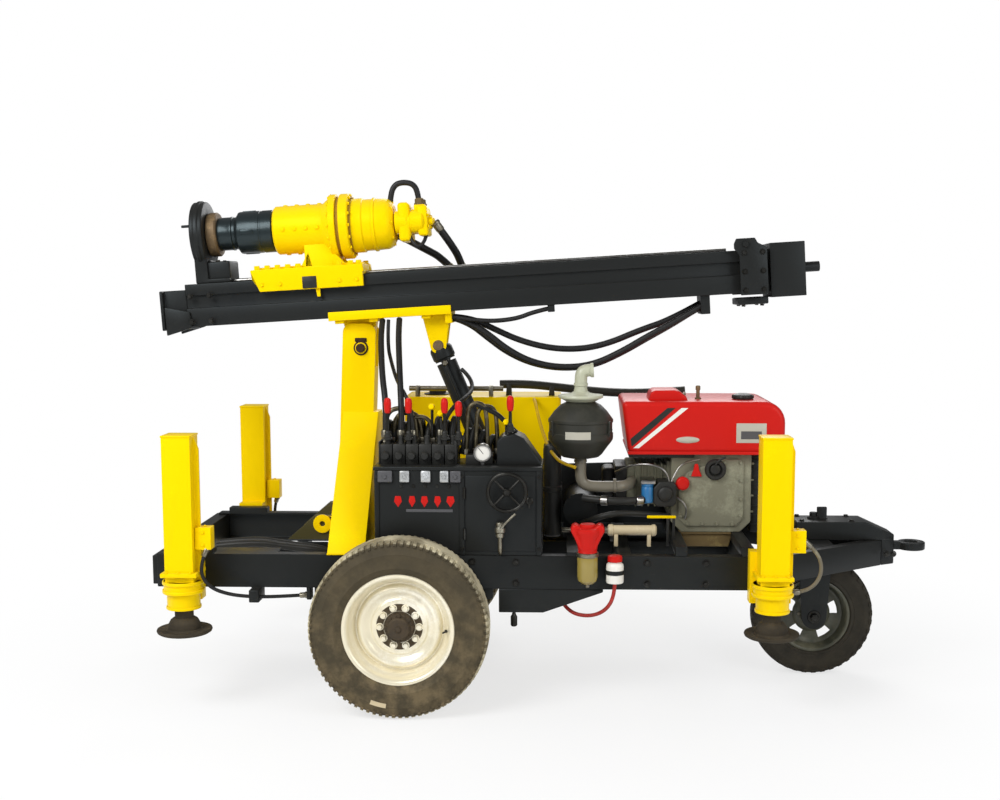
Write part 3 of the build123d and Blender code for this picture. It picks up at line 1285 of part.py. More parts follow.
# Engine on its bearers: crankcase with the cylinder lying towards the pump
with BuildPart() as crankcase:
    with BuildSketch(Plane.XZ.offset(-ENGINE_HALF_WIDTH)):
        with BuildLine():
            Polyline(
                (CRANKCASE_START_X, BEARER_TOP_Z),
                (CRANKCASE_END_X - CRANKCASE_CHAMFER, BEARER_TOP_Z),
                (CRANKCASE_END_X, BEARER_TOP_Z + CRANKCASE_CHAMFER),
                (CRANKCASE_END_X, CRANKCASE_TOP_Z),
                (CRANKCASE_START_X, CRANKCASE_TOP_Z),
                close=True,
            )
        make_face()
    extrude(amount=2 * ENGINE_HALF_WIDTH)
    cover_start_x = CRANKCASE_START_X + COVER_RIM
    cover_end_x = CRANKCASE_END_X - COVER_RIM
    cover_bottom_z = BEARER_TOP_Z + COVER_RIM
    cover_top_z = CRANKCASE_TOP_Z - COVER_RIM
    with BuildSketch(Plane.XZ.offset(ENGINE_HALF_WIDTH)):
        with BuildLine():
            Polyline(
                (cover_start_x + COVER_CORNER, cover_bottom_z),
                (cover_end_x - COVER_CORNER, cover_bottom_z),
                (cover_end_x, cover_bottom_z + COVER_CORNER),
                (cover_end_x, cover_top_z),
                (cover_start_x + COVER_SLOPE_X, cover_top_z),
                (cover_start_x, cover_top_z - COVER_SLOPE_Z),
                (cover_start_x, cover_bottom_z + COVER_CORNER),
                close=True,
            )
        make_face()
    extrude(amount=COVER_DEPTH)
    with Locations(
        ((ENGINE_START_X + CRANKCASE_START_X) / 2, 0, (CYLINDER_BOTTOM_Z + CYLINDER_TOP_Z) / 2)
    ):
        Box(CRANKCASE_START_X - ENGINE_START_X, 2 * CYLINDER_HALF_WIDTH, CYLINDER_TOP_Z - CYLINDER_BOTTOM_Z)
    for depth, rim, half_width in (
        (HEAD_DEPTH, HEAD_RIM, CYLINDER_HALF_WIDTH - HEAD_RIM),
        (HEAD_DEPTH + ROCKER_DEPTH, ROCKER_RIM, ROCKER_HALF_WIDTH),
    ):
        with Locations((ENGINE_START_X - depth / 2, 0, (CYLINDER_BOTTOM_Z + CYLINDER_TOP_Z) / 2)):
            Box(depth, 2 * half_width, CYLINDER_TOP_Z - CYLINDER_BOTTOM_Z - 2 * rim)
crankcase.part.label = "engine_block"
export_step(crankcase.part, "parts/engine_block.step")

with BuildPart() as oil_pan:
    with Locations(((PAN_START_X + PAN_END_X) / 2, 0, BEARER_TOP_Z - PAN_DEPTH / 2)):
        Box(PAN_END_X - PAN_START_X, 2 * PAN_HALF_WIDTH, PAN_DEPTH)
oil_pan.part.label = "oil_pan"
export_step(oil_pan.part, "parts/oil_pan.step")

with BuildPart() as hood:
    with BuildSketch(Plane.XZ.offset(-HOOD_HALF_WIDTH)):
        with BuildLine():
            Polyline(
                (HOOD_END_X - HOOD_CORNER_R, HOOD_TOP_Z),
                (HOOD_START_X, HOOD_TOP_Z),
                (HOOD_LEFT_FOOT_X, CRANKCASE_TOP_Z),
                (HOOD_END_X, CRANKCASE_TOP_Z),
                (HOOD_END_X, HOOD_TOP_Z - HOOD_CORNER_R),
            )
            arc_cut = HOOD_CORNER_R * (1 - math.sqrt(0.5))
            ThreePointArc(
                (HOOD_END_X, HOOD_TOP_Z - HOOD_CORNER_R),
                (HOOD_END_X - arc_cut, HOOD_TOP_Z - arc_cut),
                (HOOD_END_X - HOOD_CORNER_R, HOOD_TOP_Z),
            )
        make_face()
    extrude(amount=2 * HOOD_HALF_WIDTH)
    with BuildSketch(Plane.XZ.offset(-HUMP_Y - HUMP_WIDTH / 2)):
        with BuildLine():
            Polyline(
                (HUMP_START_X, HOOD_TOP_Z),
                (HUMP_START_X + HUMP_REAR_SLOPE, HOOD_TOP_Z + HUMP_HEIGHT),
                (HUMP_END_X - HUMP_FRONT_SLOPE, HOOD_TOP_Z + HUMP_HEIGHT),
                (HUMP_END_X, HOOD_TOP_Z),
                close=True,
            )
        make_face()
    extrude(amount=HUMP_WIDTH)
hood.part.label = "engine_hood"
export_step(hood.part, "parts/engine_hood.step")

with BuildPart() as flywheel:
    with BuildSketch(Plane.XZ.offset(-FLYWHEEL_Y - FLYWHEEL_WIDTH / 2)):
        with Locations((FLYWHEEL_X, FLYWHEEL_Z)):
            Circle(FLYWHEEL_R)
    extrude(amount=FLYWHEEL_WIDTH)
    with BuildSketch(Plane.XZ.offset(-FLYWHEEL_Y + FLYWHEEL_WIDTH / 2)):
        with Locations((FLYWHEEL_X, FLYWHEEL_Z)):
            Circle(FLYWHEEL_SHAFT_R)
    extrude(amount=FLYWHEEL_Y - FLYWHEEL_WIDTH / 2 - ENGINE_HALF_WIDTH)
flywheel.part.label = "flywheel"
export_step(flywheel.part, "parts/flywheel.step")

with BuildPart() as pump:
    with BuildSketch(Plane.XZ.offset(-PUMP_HALF_LENGTH)):
        with Locations((PUMP_X, PUMP_Z)):
            Circle(PUMP_R)
    extrude(amount=2 * PUMP_HALF_LENGTH)
    with Locations((PUMP_X, 0, (RAIL_TOP_Z + PUMP_Z) / 2)):
        Box(2 * PUMP_R, PUMP_FOOT_WIDTH, PUMP_Z - RAIL_TOP_Z)
    with Locations((PUMP_X, 0, RAIL_TOP_Z + PUMP_PLATE / 2)):
        Box(PUMP_PLATE_WIDTH, 2 * RAIL_OUTER_Y, PUMP_PLATE)
pump.part.label = "hydraulic_pump"
export_step(pump.part, "parts/hydraulic_pump.step")

# Air cleaner with its stack, and the intake pipe to the cylinder head
with BuildPart() as air_cleaner:
    with BuildSketch(Plane.XZ.offset(-CLEANER_Y)):
        with BuildLine():
            Polyline(
                (CLEANER_X, CLEANER_BOTTOM_Z),
                (CLEANER_X + 0.6 * CLEANER_R, CLEANER_BOTTOM_Z),
                (CLEANER_X + CLEANER_R, CLEANER_BOTTOM_Z + CLEANER_TAPER),
                (CLEANER_X + CLEANER_R, CLEANER_SHOULDER_Z),
                (CLEANER_X + CLEANER_NECK_R, CLEANER_TOP_Z),
                (CLEANER_X + STACK_R, CLEANER_TOP_Z),
                (CLEANER_X + STACK_R, STACK_TOP_Z),
                (CLEANER_X, STACK_TOP_Z),
                close=True,
            )
        make_face()
    revolve(axis=Axis((CLEANER_X, CLEANER_Y, 0), (0, 0, 1)))
    with BuildLine() as intake_path:
        FilletPolyline(
            (CLEANER_X, CLEANER_Y, CLEANER_BOTTOM_Z),
            (CLEANER_X, CLEANER_Y, INTAKE_Z),
            (INTAKE_END_X, CLEANER_Y, INTAKE_Z),
            (INTAKE_END_X, -CYLINDER_HALF_WIDTH, INTAKE_Z),
            radius=INTAKE_BEND_R,
        )
    with BuildSketch(Plane(origin=intake_path.line @ 0, z_dir=intake_path.line % 0)):
        Circle(INTAKE_R)
    sweep()
air_cleaner.part.label = "air_cleaner"
export_step(air_cleaner.part, "parts/air_cleaner.step")

# Fuel filter and its drain bottle on the near rail
with BuildPart() as fuel_filter:
    with BuildSketch(Plane.XZ.offset(-FILTER_Y - FILTER_DEPTH / 2)):
        with BuildLine():
            Polyline(
                (FILTER_X - FILTER_TOP_HALF, FILTER_TOP_Z),
                (FILTER_X + FILTER_TOP_HALF, FILTER_TOP_Z),
                (FILTER_X + BOWL_R, FILTER_BOTTOM_Z),
                (FILTER_X - BOWL_R, FILTER_BOTTOM_Z),
                close=True,
            )
        make_face()
    extrude(amount=FILTER_DEPTH)
    with BuildSketch(Plane.XY.offset(BOWL_BOTTOM_Z)):
        with Locations((FILTER_X, FILTER_Y)):
            Circle(BOWL_R)
    extrude(amount=FILTER_BOTTOM_Z - BOWL_BOTTOM_Z)
    with Locations((FILTER_X, (-RAIL_OUTER_Y + FILTER_Y + FILTER_DEPTH / 2) / 2, FILTER_BRACKET_Z)):
        Box(FILTER_BRACKET, -RAIL_OUTER_Y - FILTER_Y - FILTER_DEPTH / 2, FILTER_BRACKET)
    with Locations((FILTER_X, -RAIL_OUTER_Y - FILTER_PLATE / 2, FILTER_BRACKET_Z - FILTER_BRACKET / 2)):
        Box(FILTER_BRACKET, FILTER_PLATE, 2 * FILTER_BRACKET)
fuel_filter.part.label = "fuel_filter"
export_step(fuel_filter.part, "parts/fuel_filter.step")

with BuildPart() as drain_bottle:
    with BuildSketch(Plane.XY.offset(BOTTLE_BOTTOM_Z)):
        with Locations((BOTTLE_X, -RAIL_OUTER_Y - BOTTLE_R)):
            Circle(BOTTLE_R)
    extrude(amount=BOTTLE_HEIGHT)
drain_bottle.part.label = "drain_bottle"
export_step(drain_bottle.part, "parts/drain_bottle.step")

# Hoses: straight runs joined by tangent arcs, from the points of HOSES


def corner_radii(points):
    """A fillet radius for each corner: a share of its shorter run over the tangent of half its turn."""
    corners = [Vector(*point) for point in points]
    radii = []
    for before, corner, after in zip(corners, corners[1:], corners[2:]):
        run_in = corner - before
        run_out = after - corner
        turn = math.radians(run_in.get_angle(run_out))
        radii.append(ARC_SHARE * min(run_in.length, run_out.length) / math.tan(turn / 2))
    return radii


for name, hose_r, points in HOSES:
    radii = corner_radii(points)
    with BuildPart() as hose:
        with BuildLine() as route:
            FilletPolyline(*points, radius=radii)
        with BuildSketch(Plane(origin=route.line @ 0, z_dir=route.line % 0)):
            Circle(hose_r)
        sweep()
    length = sum(edge.length for edge in route.edges())
    expected = math.pi * hose_r**2 * length
    print(name, "tightest radius", round(min(radii)), "of diameter", 2 * hose_r, "length", round(length))
    print("   volume over section times length", round(hose.part.volume / expected, 3))
    hose.part.label = name
    export_step(hose.part, f"parts/{name}.step")
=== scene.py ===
import json
import math

import bmesh
import bpy
from mathutils import Matrix, Vector


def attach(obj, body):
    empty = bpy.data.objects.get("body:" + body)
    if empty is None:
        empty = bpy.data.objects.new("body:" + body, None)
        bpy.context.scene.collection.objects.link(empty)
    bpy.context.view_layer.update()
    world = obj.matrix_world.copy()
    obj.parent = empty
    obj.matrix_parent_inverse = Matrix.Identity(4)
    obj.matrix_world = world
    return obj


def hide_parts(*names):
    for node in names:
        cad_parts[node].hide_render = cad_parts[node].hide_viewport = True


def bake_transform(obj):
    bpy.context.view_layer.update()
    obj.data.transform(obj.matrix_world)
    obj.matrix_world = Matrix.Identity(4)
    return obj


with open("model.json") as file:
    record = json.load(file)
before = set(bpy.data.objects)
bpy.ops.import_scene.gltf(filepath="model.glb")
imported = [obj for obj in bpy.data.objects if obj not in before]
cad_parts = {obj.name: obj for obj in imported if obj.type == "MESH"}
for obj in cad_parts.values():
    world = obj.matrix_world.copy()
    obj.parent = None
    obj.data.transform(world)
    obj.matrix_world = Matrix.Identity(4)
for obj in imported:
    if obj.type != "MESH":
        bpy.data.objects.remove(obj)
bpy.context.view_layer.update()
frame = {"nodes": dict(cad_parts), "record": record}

# Row frame in metres: ground at z = 0, +X forward to the tow eye, -Y the side with the levers
MAST_TILT = math.radians(3.5)
PIVOT = Vector((-0.818, 0.0, 1.462))
DRILL_H = 0.535
AXLE_X, AXLE_Z, TRACK_Y = -0.585, 0.366, 0.645
NOSE_X, NOSE_AXLE_Z = 1.192, 0.27
RAIL_TOP = 0.632
REAR_JACK_X, FRONT_JACK_X, JACK_Y = -1.465, 0.914, 0.64
CLEANER_X, CLEANER_Y = 0.148, -0.25
FILTER_X, FILTER_Y = 0.174, -0.57
SIDES = (("near", -1), ("far", 1))
JACKS = (("rear_near", -1), ("rear_far", 1), ("front_near", -1), ("front_far", 1))

# Mast coordinates: x is s along the mast, y stays y, z is h square to the mast
MAST = Matrix.Translation(PIVOT) @ Matrix.Rotation(-MAST_TILT, 4, "Y")


# Camera at the photograph's place and angle
def add_camera():
    camera = bpy.data.cameras.new("camera")
    camera.lens = 46.8
    camera.sensor_width = 36.0
    camera.shift_x = -0.024
    camera.shift_y = 0.034
    holder = bpy.data.objects.new("camera", camera)
    holder.location = (0.07, -5.769, 1.738)
    holder.rotation_euler = (math.radians(90 - 6.54), 0, math.radians(1.7))
    bpy.context.scene.collection.objects.link(holder)
    bpy.context.scene.camera = holder


# Modelling helpers; an edge sharper than this many degrees is rounded, the rest is shaded smooth
EDGE_ANGLE = 32


def deselect():
    if bpy.context.mode != "OBJECT":
        bpy.ops.object.mode_set(mode="OBJECT")
    bpy.ops.object.select_all(action="DESELECT")


def choose(piece):
    deselect()
    piece.select_set(True)
    bpy.context.view_layer.objects.active = piece


def edit(piece, mode="FACE"):
    """Opens the piece in edit mode with nothing selected."""
    choose(piece)
    bpy.ops.object.mode_set(mode="EDIT")
    bpy.ops.mesh.select_mode(type=mode)
    bpy.ops.mesh.select_all(action="DESELECT")


def pick(piece, test):
    """In edit mode, adds to the selection the faces whose centre and normal pass the test."""
    mesh = bmesh.from_edit_mesh(piece.data)
    mesh.faces.ensure_lookup_table()
    for face in mesh.faces:
        if test(face.calc_center_median(), face.normal):
            face.select_set(True)
    mesh.select_flush_mode()
    bmesh.update_edit_mesh(piece.data)


def done():
    bpy.ops.object.mode_set(mode="OBJECT")


def cut_away(piece, test):
    """Deletes the faces whose centre and normal pass the test."""
    edit(piece)
    pick(piece, test)
    bpy.ops.mesh.delete(type="FACE")
    done()


def settle(piece, place=None):
    """Moves the piece by the placing matrix and leaves its object at the origin."""
    if place is not None:
        piece.matrix_world = place @ piece.matrix_world
    choose(piece)
    bpy.ops.object.transform_apply(location=True, rotation=True, scale=True)
    return piece


def soften(piece, width, steps, angle=EDGE_ANGLE):
    """Rounds the sharp edges and shades the rest smooth."""
    choose(piece)
    if width:
        bevel = piece.modifiers.new("edges", "BEVEL")
        bevel.width = width
        bevel.segments = steps
        bevel.limit_method = "ANGLE"
        bevel.angle_limit = math.radians(angle)
        bevel.use_clamp_overlap = True
        bpy.ops.object.modifier_apply(modifier=bevel.name)
    bpy.ops.object.shade_smooth_by_angle(angle=math.radians(angle))
    return piece


def block(name, low, high, place=None, edge=0.003, steps=2):
    centre = [(a + b) / 2 for a, b in zip(low, high)]
    size = [b - a for a, b in zip(low, high)]
    deselect()
    bpy.ops.mesh.primitive_cube_add(size=1, location=centre, scale=size)
    piece = bpy.context.object
    piece.name = name
    settle(piece)
    soften(piece, edge, steps)
    return settle(piece, place)


def mm(*points):
    """Points that are typed in millimetres, in metres."""
    return [tuple(value / 1000 for value in point) for point in points]


def rectangle(x0, x1, z0, z1):
    return [(x0, z0), (x1, z0), (x1, z1), (x0, z1)]


def shift(x, y, z=0):
    return Matrix.Translation((x, y, z))


def on_mast(s, y, h):
    return MAST @ Vector((s, y, h))


def start_point(name, point):
    """A mesh of one selected point, ready to be extruded in edit mode."""
    deselect()
    bpy.ops.mesh.primitive_plane_add(size=0.01, location=(0, 0, 0))
    piece = bpy.context.object
    piece.name = name
    bpy.ops.object.mode_set(mode="EDIT")
    bpy.ops.mesh.select_mode(type="VERT")
    bpy.ops.mesh.select_all(action="SELECT")
    bpy.ops.mesh.merge(type="CENTER")
    bpy.ops.transform.translate(value=point)
    return piece


def draw_edges(stops):
    """Draws one edge to each next (x, z) stop, from the selected point."""
    for (x0, z0), (x1, z1) in zip(stops, stops[1:]):
        bpy.ops.mesh.extrude_region_move(TRANSFORM_OT_translate={"value": (x1 - x0, 0, z1 - z0)})
    bpy.ops.mesh.select_all(action="SELECT")


def finished(piece, place, edge, steps, angle=EDGE_ANGLE):
    """Turns the faces outwards, leaves edit mode, rounds the edges and places the piece."""
    bpy.ops.mesh.normals_make_consistent(inside=False)
    done()
    soften(piece, edge, steps, angle)
    return settle(piece, place)


def turned(name, profile, place=None, steps=48, edge=0.0, closed=False, angle=EDGE_ANGLE):
    """A turned piece: its profile (radius, distance along the axis) is drawn by extrusion and spun about z."""
    piece = start_point(name, (profile[0][0], 0, profile[0][1]))
    stops = list(profile) + ([profile[0]] if closed else [])
    draw_edges(stops)
    bpy.ops.mesh.spin(steps=steps, angle=2 * math.pi, center=(0, 0, 0), axis=(0, 0, 1))
    bpy.ops.mesh.select_all(action="SELECT")
    bpy.ops.mesh.remove_doubles(threshold=5e-05)
    return finished(piece, place, edge, 2, angle)


def drawn(name, outline, y_from, y_to, place=None, edge=0.003, steps=2):
    """A plate: its outline of (x, z) points is drawn by extrusion, filled and extruded along y."""
    first = outline[0]
    piece = start_point(name, (first[0], y_from, first[1]))
    draw_edges(outline)
    bpy.ops.mesh.edge_face_add()
    bpy.ops.mesh.extrude_region_move(TRANSFORM_OT_translate={"value": (0, y_to - y_from, 0)})
    bpy.ops.mesh.select_all(action="SELECT")
    return finished(piece, place, edge, steps)


def towards(axis):
    """The rotation that turns z to an axis."""
    return Vector(axis).to_track_quat("Z", "Y").to_matrix().to_4x4()


def at(point, axis=(0, 0, 1)):
    return Matrix.Translation(point) @ towards(axis)


def rod(name, start, end, radius, edge=0.0008):
    """A round bar from start to end."""
    start = Vector(start)
    run = Vector(end) - start
    profile = ((0, 0), (radius, 0), (radius, run.length), (0, run.length))
    return turned(name, profile, at(start, run), steps=24, edge=edge)


def join(name, pieces):
    deselect()
    for piece in pieces:
        piece.select_set(True)
    bpy.context.view_layer.objects.active = pieces[0]
    if len(pieces) > 1:
        bpy.ops.object.join()
    pieces[0].name = name
    return pieces[0]


def copies(name, model, places):
    """The model repeated at each placing matrix and joined into one piece; the model itself goes."""
    pieces = []
    for place in places:
        twin = model.copy()
        twin.data = model.data.copy()
        bpy.context.scene.collection.objects.link(twin)
        twin.matrix_world = place
        settle(twin)
        pieces.append(twin)
    bpy.data.objects.remove(model)
    return join(name, pieces)


def bolts(name, places, size=0.008, height=0.006):
    """Hexagon heads on washers at (point, axis) places."""
    head = turned("head", ((0, height), (size * 0.9, height), (size, height * 0.8), (size, 0.0)), steps=6)
    washer = turned("washer", ((size, 0.0015), (size * 1.35, 0.0015), (size * 1.45, 0)), steps=20)
    model = join("bolt", [head, washer])
    return copies(name, model, [at(point, axis) for point, axis in places])


def ring_places(centre, axis, radius, count, turn=0.0):
    """(point, axis) places round a circle about an axis."""
    frame_of = at(centre, axis)
    places = []
    for index in range(count):
        angle = turn + 2 * math.pi * index / count
        places.append((frame_of @ Vector((radius * math.cos(angle), radius * math.sin(angle), 0)), axis))
    return places


def route_curve(name, points, radius, order=3, resolution=10, roundness=5):
    curve = bpy.data.curves.new(name, "CURVE")
    curve.dimensions = "3D"
    curve.bevel_depth = radius
    curve.bevel_resolution = roundness
    curve.use_fill_caps = True
    spline = curve.splines.new("NURBS")
    spline.points.add(len(points) - 1)
    for place, point in zip(spline.points, points):
        place.co = (*point, 1)
    spline.order_u = order
    spline.use_endpoint_u = True
    spline.resolution_u = resolution
    piece = bpy.data.objects.new(name, curve)
    bpy.context.scene.collection.objects.link(piece)
    return piece


def as_mesh(piece):
    choose(piece)
    bpy.ops.object.convert(target="MESH")
    bpy.ops.object.shade_smooth_by_angle(angle=math.radians(40))
    return bpy.context.object


def pipe(name, points, radius, order=3, resolution=6):
    """A rigid bent pipe: a curve made into a mesh."""
    return as_mesh(route_curve(name, points, radius, order, resolution, 4))


def body_of(node):
    return next(name for name, nodes in frame["record"]["behaviour"]["bodies"].items() if node in nodes)


def dress(piece, material, body="chassis", node=None):
    """Gives a piece its material and body; one that stands for a CAD node takes the node's own body, and the
    node is hidden.
    """
    piece.data.materials.clear()
    piece.data.materials.append(material)
    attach(piece, body_of(node) if node else body)
    if node:
        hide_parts(node)
    return piece


def softened(node, material, width, steps=2):
    """A copy of a CAD node with its flats merged and its edges rounded, which stands for the node."""
    source = frame["nodes"][node]
    piece = source.copy()
    piece.data = source.data.copy()
    piece.parent = None
    piece.matrix_world = Matrix.Identity(4)
    bpy.context.scene.collection.objects.link(piece)
    piece.name = node + "_rounded"
    choose(piece)
    bpy.ops.object.mode_set(mode="EDIT")
    bpy.ops.mesh.select_all(action="SELECT")
    bpy.ops.mesh.remove_doubles(threshold=3e-05)
    bpy.ops.mesh.dissolve_limited(angle_limit=math.radians(0.5))
    done()
    soften(piece, width, steps)
    return dress(piece, material, node=node)


# Shader helpers
BUMP_DEPTH = 0.002


def group(name, inputs, outputs):
    """A new shader node group with named float inputs and outputs."""
    tree = bpy.data.node_groups.new(name, "ShaderNodeTree")
    for title, value in inputs:
        socket = tree.interface.new_socket(title, in_out="INPUT", socket_type="NodeSocketFloat")
        socket.default_value = value
    for title, kind in outputs:
        tree.interface.new_socket(title, in_out="OUTPUT", socket_type=kind)
    return tree, tree.nodes.new("NodeGroupInput"), tree.nodes.new("NodeGroupOutput")


def noise(tree, vector, scale, detail=4.0, roughness=0.55):
    texture = tree.nodes.new("ShaderNodeTexNoise")
    texture.inputs["Detail"].default_value = detail
    texture.inputs["Roughness"].default_value = roughness
    if isinstance(scale, (int, float)):
        texture.inputs["Scale"].default_value = scale
    else:
        tree.links.new(scale, texture.inputs["Scale"])
    tree.links.new(vector, texture.inputs["Vector"])
    return texture.outputs["Fac"]


def remap(tree, value, low, high, to_low=0.0, to_high=1.0):
    ramp = tree.nodes.new("ShaderNodeMapRange")
    ramp.interpolation_type = "SMOOTHSTEP"
    tree.links.new(value, ramp.inputs["Value"])
    for title, setting in (("From Min", low), ("From Max", high), ("To Min", to_low), ("To Max", to_high)):
        if isinstance(setting, (int, float)):
            ramp.inputs[title].default_value = setting
        else:
            tree.links.new(setting, ramp.inputs[title])
    return ramp.outputs["Result"]


def sums(tree, operation, first, second):
    node = tree.nodes.new("ShaderNodeMath")
    node.operation = operation
    for socket, value in zip(node.inputs, (first, second)):
        if isinstance(value, (int, float)):
            socket.default_value = value
        else:
            tree.links.new(value, socket)
    return node.outputs[0]


def stretched(tree, vector, scale):
    mapping = tree.nodes.new("ShaderNodeMapping")
    mapping.inputs["Scale"].default_value = scale
    tree.links.new(vector, mapping.inputs["Vector"])
    return mapping.outputs["Vector"]


def object_place(tree):
    return tree.nodes.new("ShaderNodeTexCoord").outputs["Object"]


def grime_group():
    """Patches of dirt: Mask from broad patches broken up by fine ones."""
    tree, given, result = group("grime", (("Scale", 6.0), ("Amount", 0.5)), (("Mask", "NodeSocketFloat"),))
    place = object_place(tree)
    broad = noise(tree, place, given.outputs["Scale"], 5)
    fine = noise(tree, place, 90.0, 3, 0.7)
    both = sums(tree, "ADD", broad, sums(tree, "MULTIPLY", fine, 0.35))
    edge = sums(tree, "SUBTRACT", 1.05, sums(tree, "MULTIPLY", given.outputs["Amount"], 0.5))
    mask = remap(tree, both, sums(tree, "SUBTRACT", edge, 0.28), edge)
    tree.links.new(mask, result.inputs["Mask"])
    return tree


def dust_group():
    """Dust that settles on faces that look up and thickens towards the ground."""
    tree, given, result = group("settled dust", (("Amount", 0.5), ("Height", 0.6)),
        (("Mask", "NodeSocketFloat"),))
    place = object_place(tree)
    normal = tree.nodes.new("ShaderNodeNewGeometry").outputs["Normal"]
    split = tree.nodes.new("ShaderNodeSeparateXYZ")
    tree.links.new(normal, split.inputs[0])
    upward = remap(tree, split.outputs["Z"], 0.35, 1.0)
    where = tree.nodes.new("ShaderNodeSeparateXYZ")
    tree.links.new(place, where.inputs[0])
    low = remap(tree, where.outputs["Z"], given.outputs["Height"], 0.05)
    patches = remap(tree, noise(tree, place, 14.0, 6, 0.65), 0.35, 0.7)
    both = sums(tree, "ADD", sums(tree, "MULTIPLY", upward, 0.7), sums(tree, "MULTIPLY", low, 0.6))
    mask = sums(tree, "MULTIPLY", sums(tree, "MULTIPLY", both, patches), given.outputs["Amount"])
    tree.links.new(mask, result.inputs["Mask"])
    return tree


def skin_group():
    """Height of sprayed paint: a slight orange peel over gentle unevenness of the plate."""
    tree, given, result = group("paint skin", (("Peel", 0.4), ("Waves", 0.4)), (("Height", "NodeSocketFloat"),))
    place = object_place(tree)
    peel = sums(tree, "MULTIPLY", noise(tree, place, 420.0, 2), given.outputs["Peel"])
    waves = sums(tree, "MULTIPLY", noise(tree, place, 9.0, 3), given.outputs["Waves"])
    tree.links.new(sums(tree, "ADD", peel, waves), result.inputs["Height"])
    return tree


def scuff_group():
    """Scuffs and chips: Mask of short scratches in two directions."""
    tree, given, result = group("scuffs", (("Amount", 0.3),), (("Mask", "NodeSocketFloat"),))
    place = object_place(tree)
    edge = sums(tree, "SUBTRACT", 0.78, sums(tree, "MULTIPLY", given.outputs["Amount"], 0.16))
    top = sums(tree, "ADD", edge, 0.03)
    along = remap(tree, noise(tree, stretched(tree, place, (2.0, 9.0, 60.0)), 4.0, 5, 0.6), edge, top)
    across = remap(tree, noise(tree, stretched(tree, place, (55.0, 12.0, 3.0)), 4.0, 5, 0.6), edge, top)
    chips = remap(tree, noise(tree, place, 55.0, 6, 0.75), edge, top)
    strongest = sums(tree, "MAXIMUM", sums(tree, "MAXIMUM", along, across), chips)
    tree.links.new(strongest, result.inputs["Mask"])
    return tree


def cast_group():
    """Height of a sand casting: fine grains over lumps."""
    tree, given, result = group("cast skin", (("Grain", 0.6),), (("Height", "NodeSocketFloat"),))
    place = object_place(tree)
    cells = tree.nodes.new("ShaderNodeTexVoronoi")
    cells.inputs["Scale"].default_value = 260.0
    tree.links.new(place, cells.inputs["Vector"])
    lumps = noise(tree, place, 30.0, 4)
    grains = sums(tree, "MULTIPLY", cells.outputs["Distance"], given.outputs["Grain"])
    tree.links.new(sums(tree, "ADD", grains, lumps), result.inputs["Height"])
    return tree


GROUPS = {"grime": grime_group(), "dust": dust_group(), "skin": skin_group(), "scuffs": scuff_group(),
    "cast": cast_group()}


def effect(tree, title, **settings):
    """A shared effect placed in a material with its own values."""
    node = tree.nodes.new("ShaderNodeGroup")
    node.node_tree = GROUPS[title]
    for name, value in settings.items():
        node.inputs[name].default_value = value
    return node.outputs[0]


def blend_colour(tree, mask, first, second):
    mix = tree.nodes.new("ShaderNodeMix")
    mix.data_type = "RGBA"
    tree.links.new(mask, mix.inputs["Factor"])
    colour_sockets = [s for s in mix.inputs if s.type == "RGBA"]
    for socket, value in zip(colour_sockets, (first, second)):
        if isinstance(value, tuple):
            socket.default_value = (*value, 1)
        else:
            tree.links.new(value, socket)
    return next(s for s in mix.outputs if s.type == "RGBA")


def new_material(name):
    material = bpy.data.materials.new(name)
    material.use_nodes = True
    tree = material.node_tree
    return material, tree, tree.nodes["Principled BSDF"]


def bump(tree, shader, height, strength):
    node = tree.nodes.new("ShaderNodeBump")
    node.inputs["Strength"].default_value = strength
    node.inputs["Distance"].default_value = BUMP_DEPTH
    tree.links.new(height, node.inputs["Height"])
    tree.links.new(node.outputs["Normal"], shader.inputs["Normal"])


def paint(name, colour, deep, dust, roughness=0.35, coat=0.3, dust_amount=0.5, scuffs=0.2, bare=None, shine=0.5,
        tint=None):
    """Sprayed paint: uneven tone, dust on top, chips down to what is under it."""
    material, tree, shader = new_material(name)
    tone = effect(tree, "grime", Scale=3.5, Amount=0.9)
    base = blend_colour(tree, tone, colour, deep)
    worn = blend_colour(tree, effect(tree, "scuffs", Amount=scuffs), base, bare or deep)
    settled = effect(tree, "dust", Amount=dust_amount, Height=0.75)
    final = blend_colour(tree, settled, worn, dust)
    tree.links.new(final, shader.inputs["Base Color"])
    rough = remap(tree, settled, 0.0, 1.0, roughness, min(1.0, roughness + 0.45))
    tree.links.new(rough, shader.inputs["Roughness"])
    shader.inputs["Coat Weight"].default_value = coat
    shader.inputs["Coat Roughness"].default_value = 0.12
    shader.inputs["Specular IOR Level"].default_value = shine
    if tint:
        shader.inputs["Specular Tint"].default_value = (*tint, 1)
    bump(tree, shader, effect(tree, "skin", Peel=0.4, Waves=0.5), 0.25)
    return material


def casting(name, colour, deep, dust, roughness=0.6, metallic=0.0, grime=0.8, shine=0.35):
    """Painted or bare casting with dirt in patches."""
    material, tree, shader = new_material(name)
    dirt = effect(tree, "grime", Scale=9.0, Amount=grime)
    base = blend_colour(tree, dirt, colour, deep)
    final = blend_colour(tree, effect(tree, "dust", Amount=0.5, Height=0.8), base, dust)
    tree.links.new(final, shader.inputs["Base Color"])
    tree.links.new(remap(tree, dirt, 0, 1, roughness, roughness + 0.25), shader.inputs["Roughness"])
    shader.inputs["Metallic"].default_value = metallic
    shader.inputs["Specular IOR Level"].default_value = shine
    bump(tree, shader, effect(tree, "cast", Grain=0.5), 0.35)
    return material


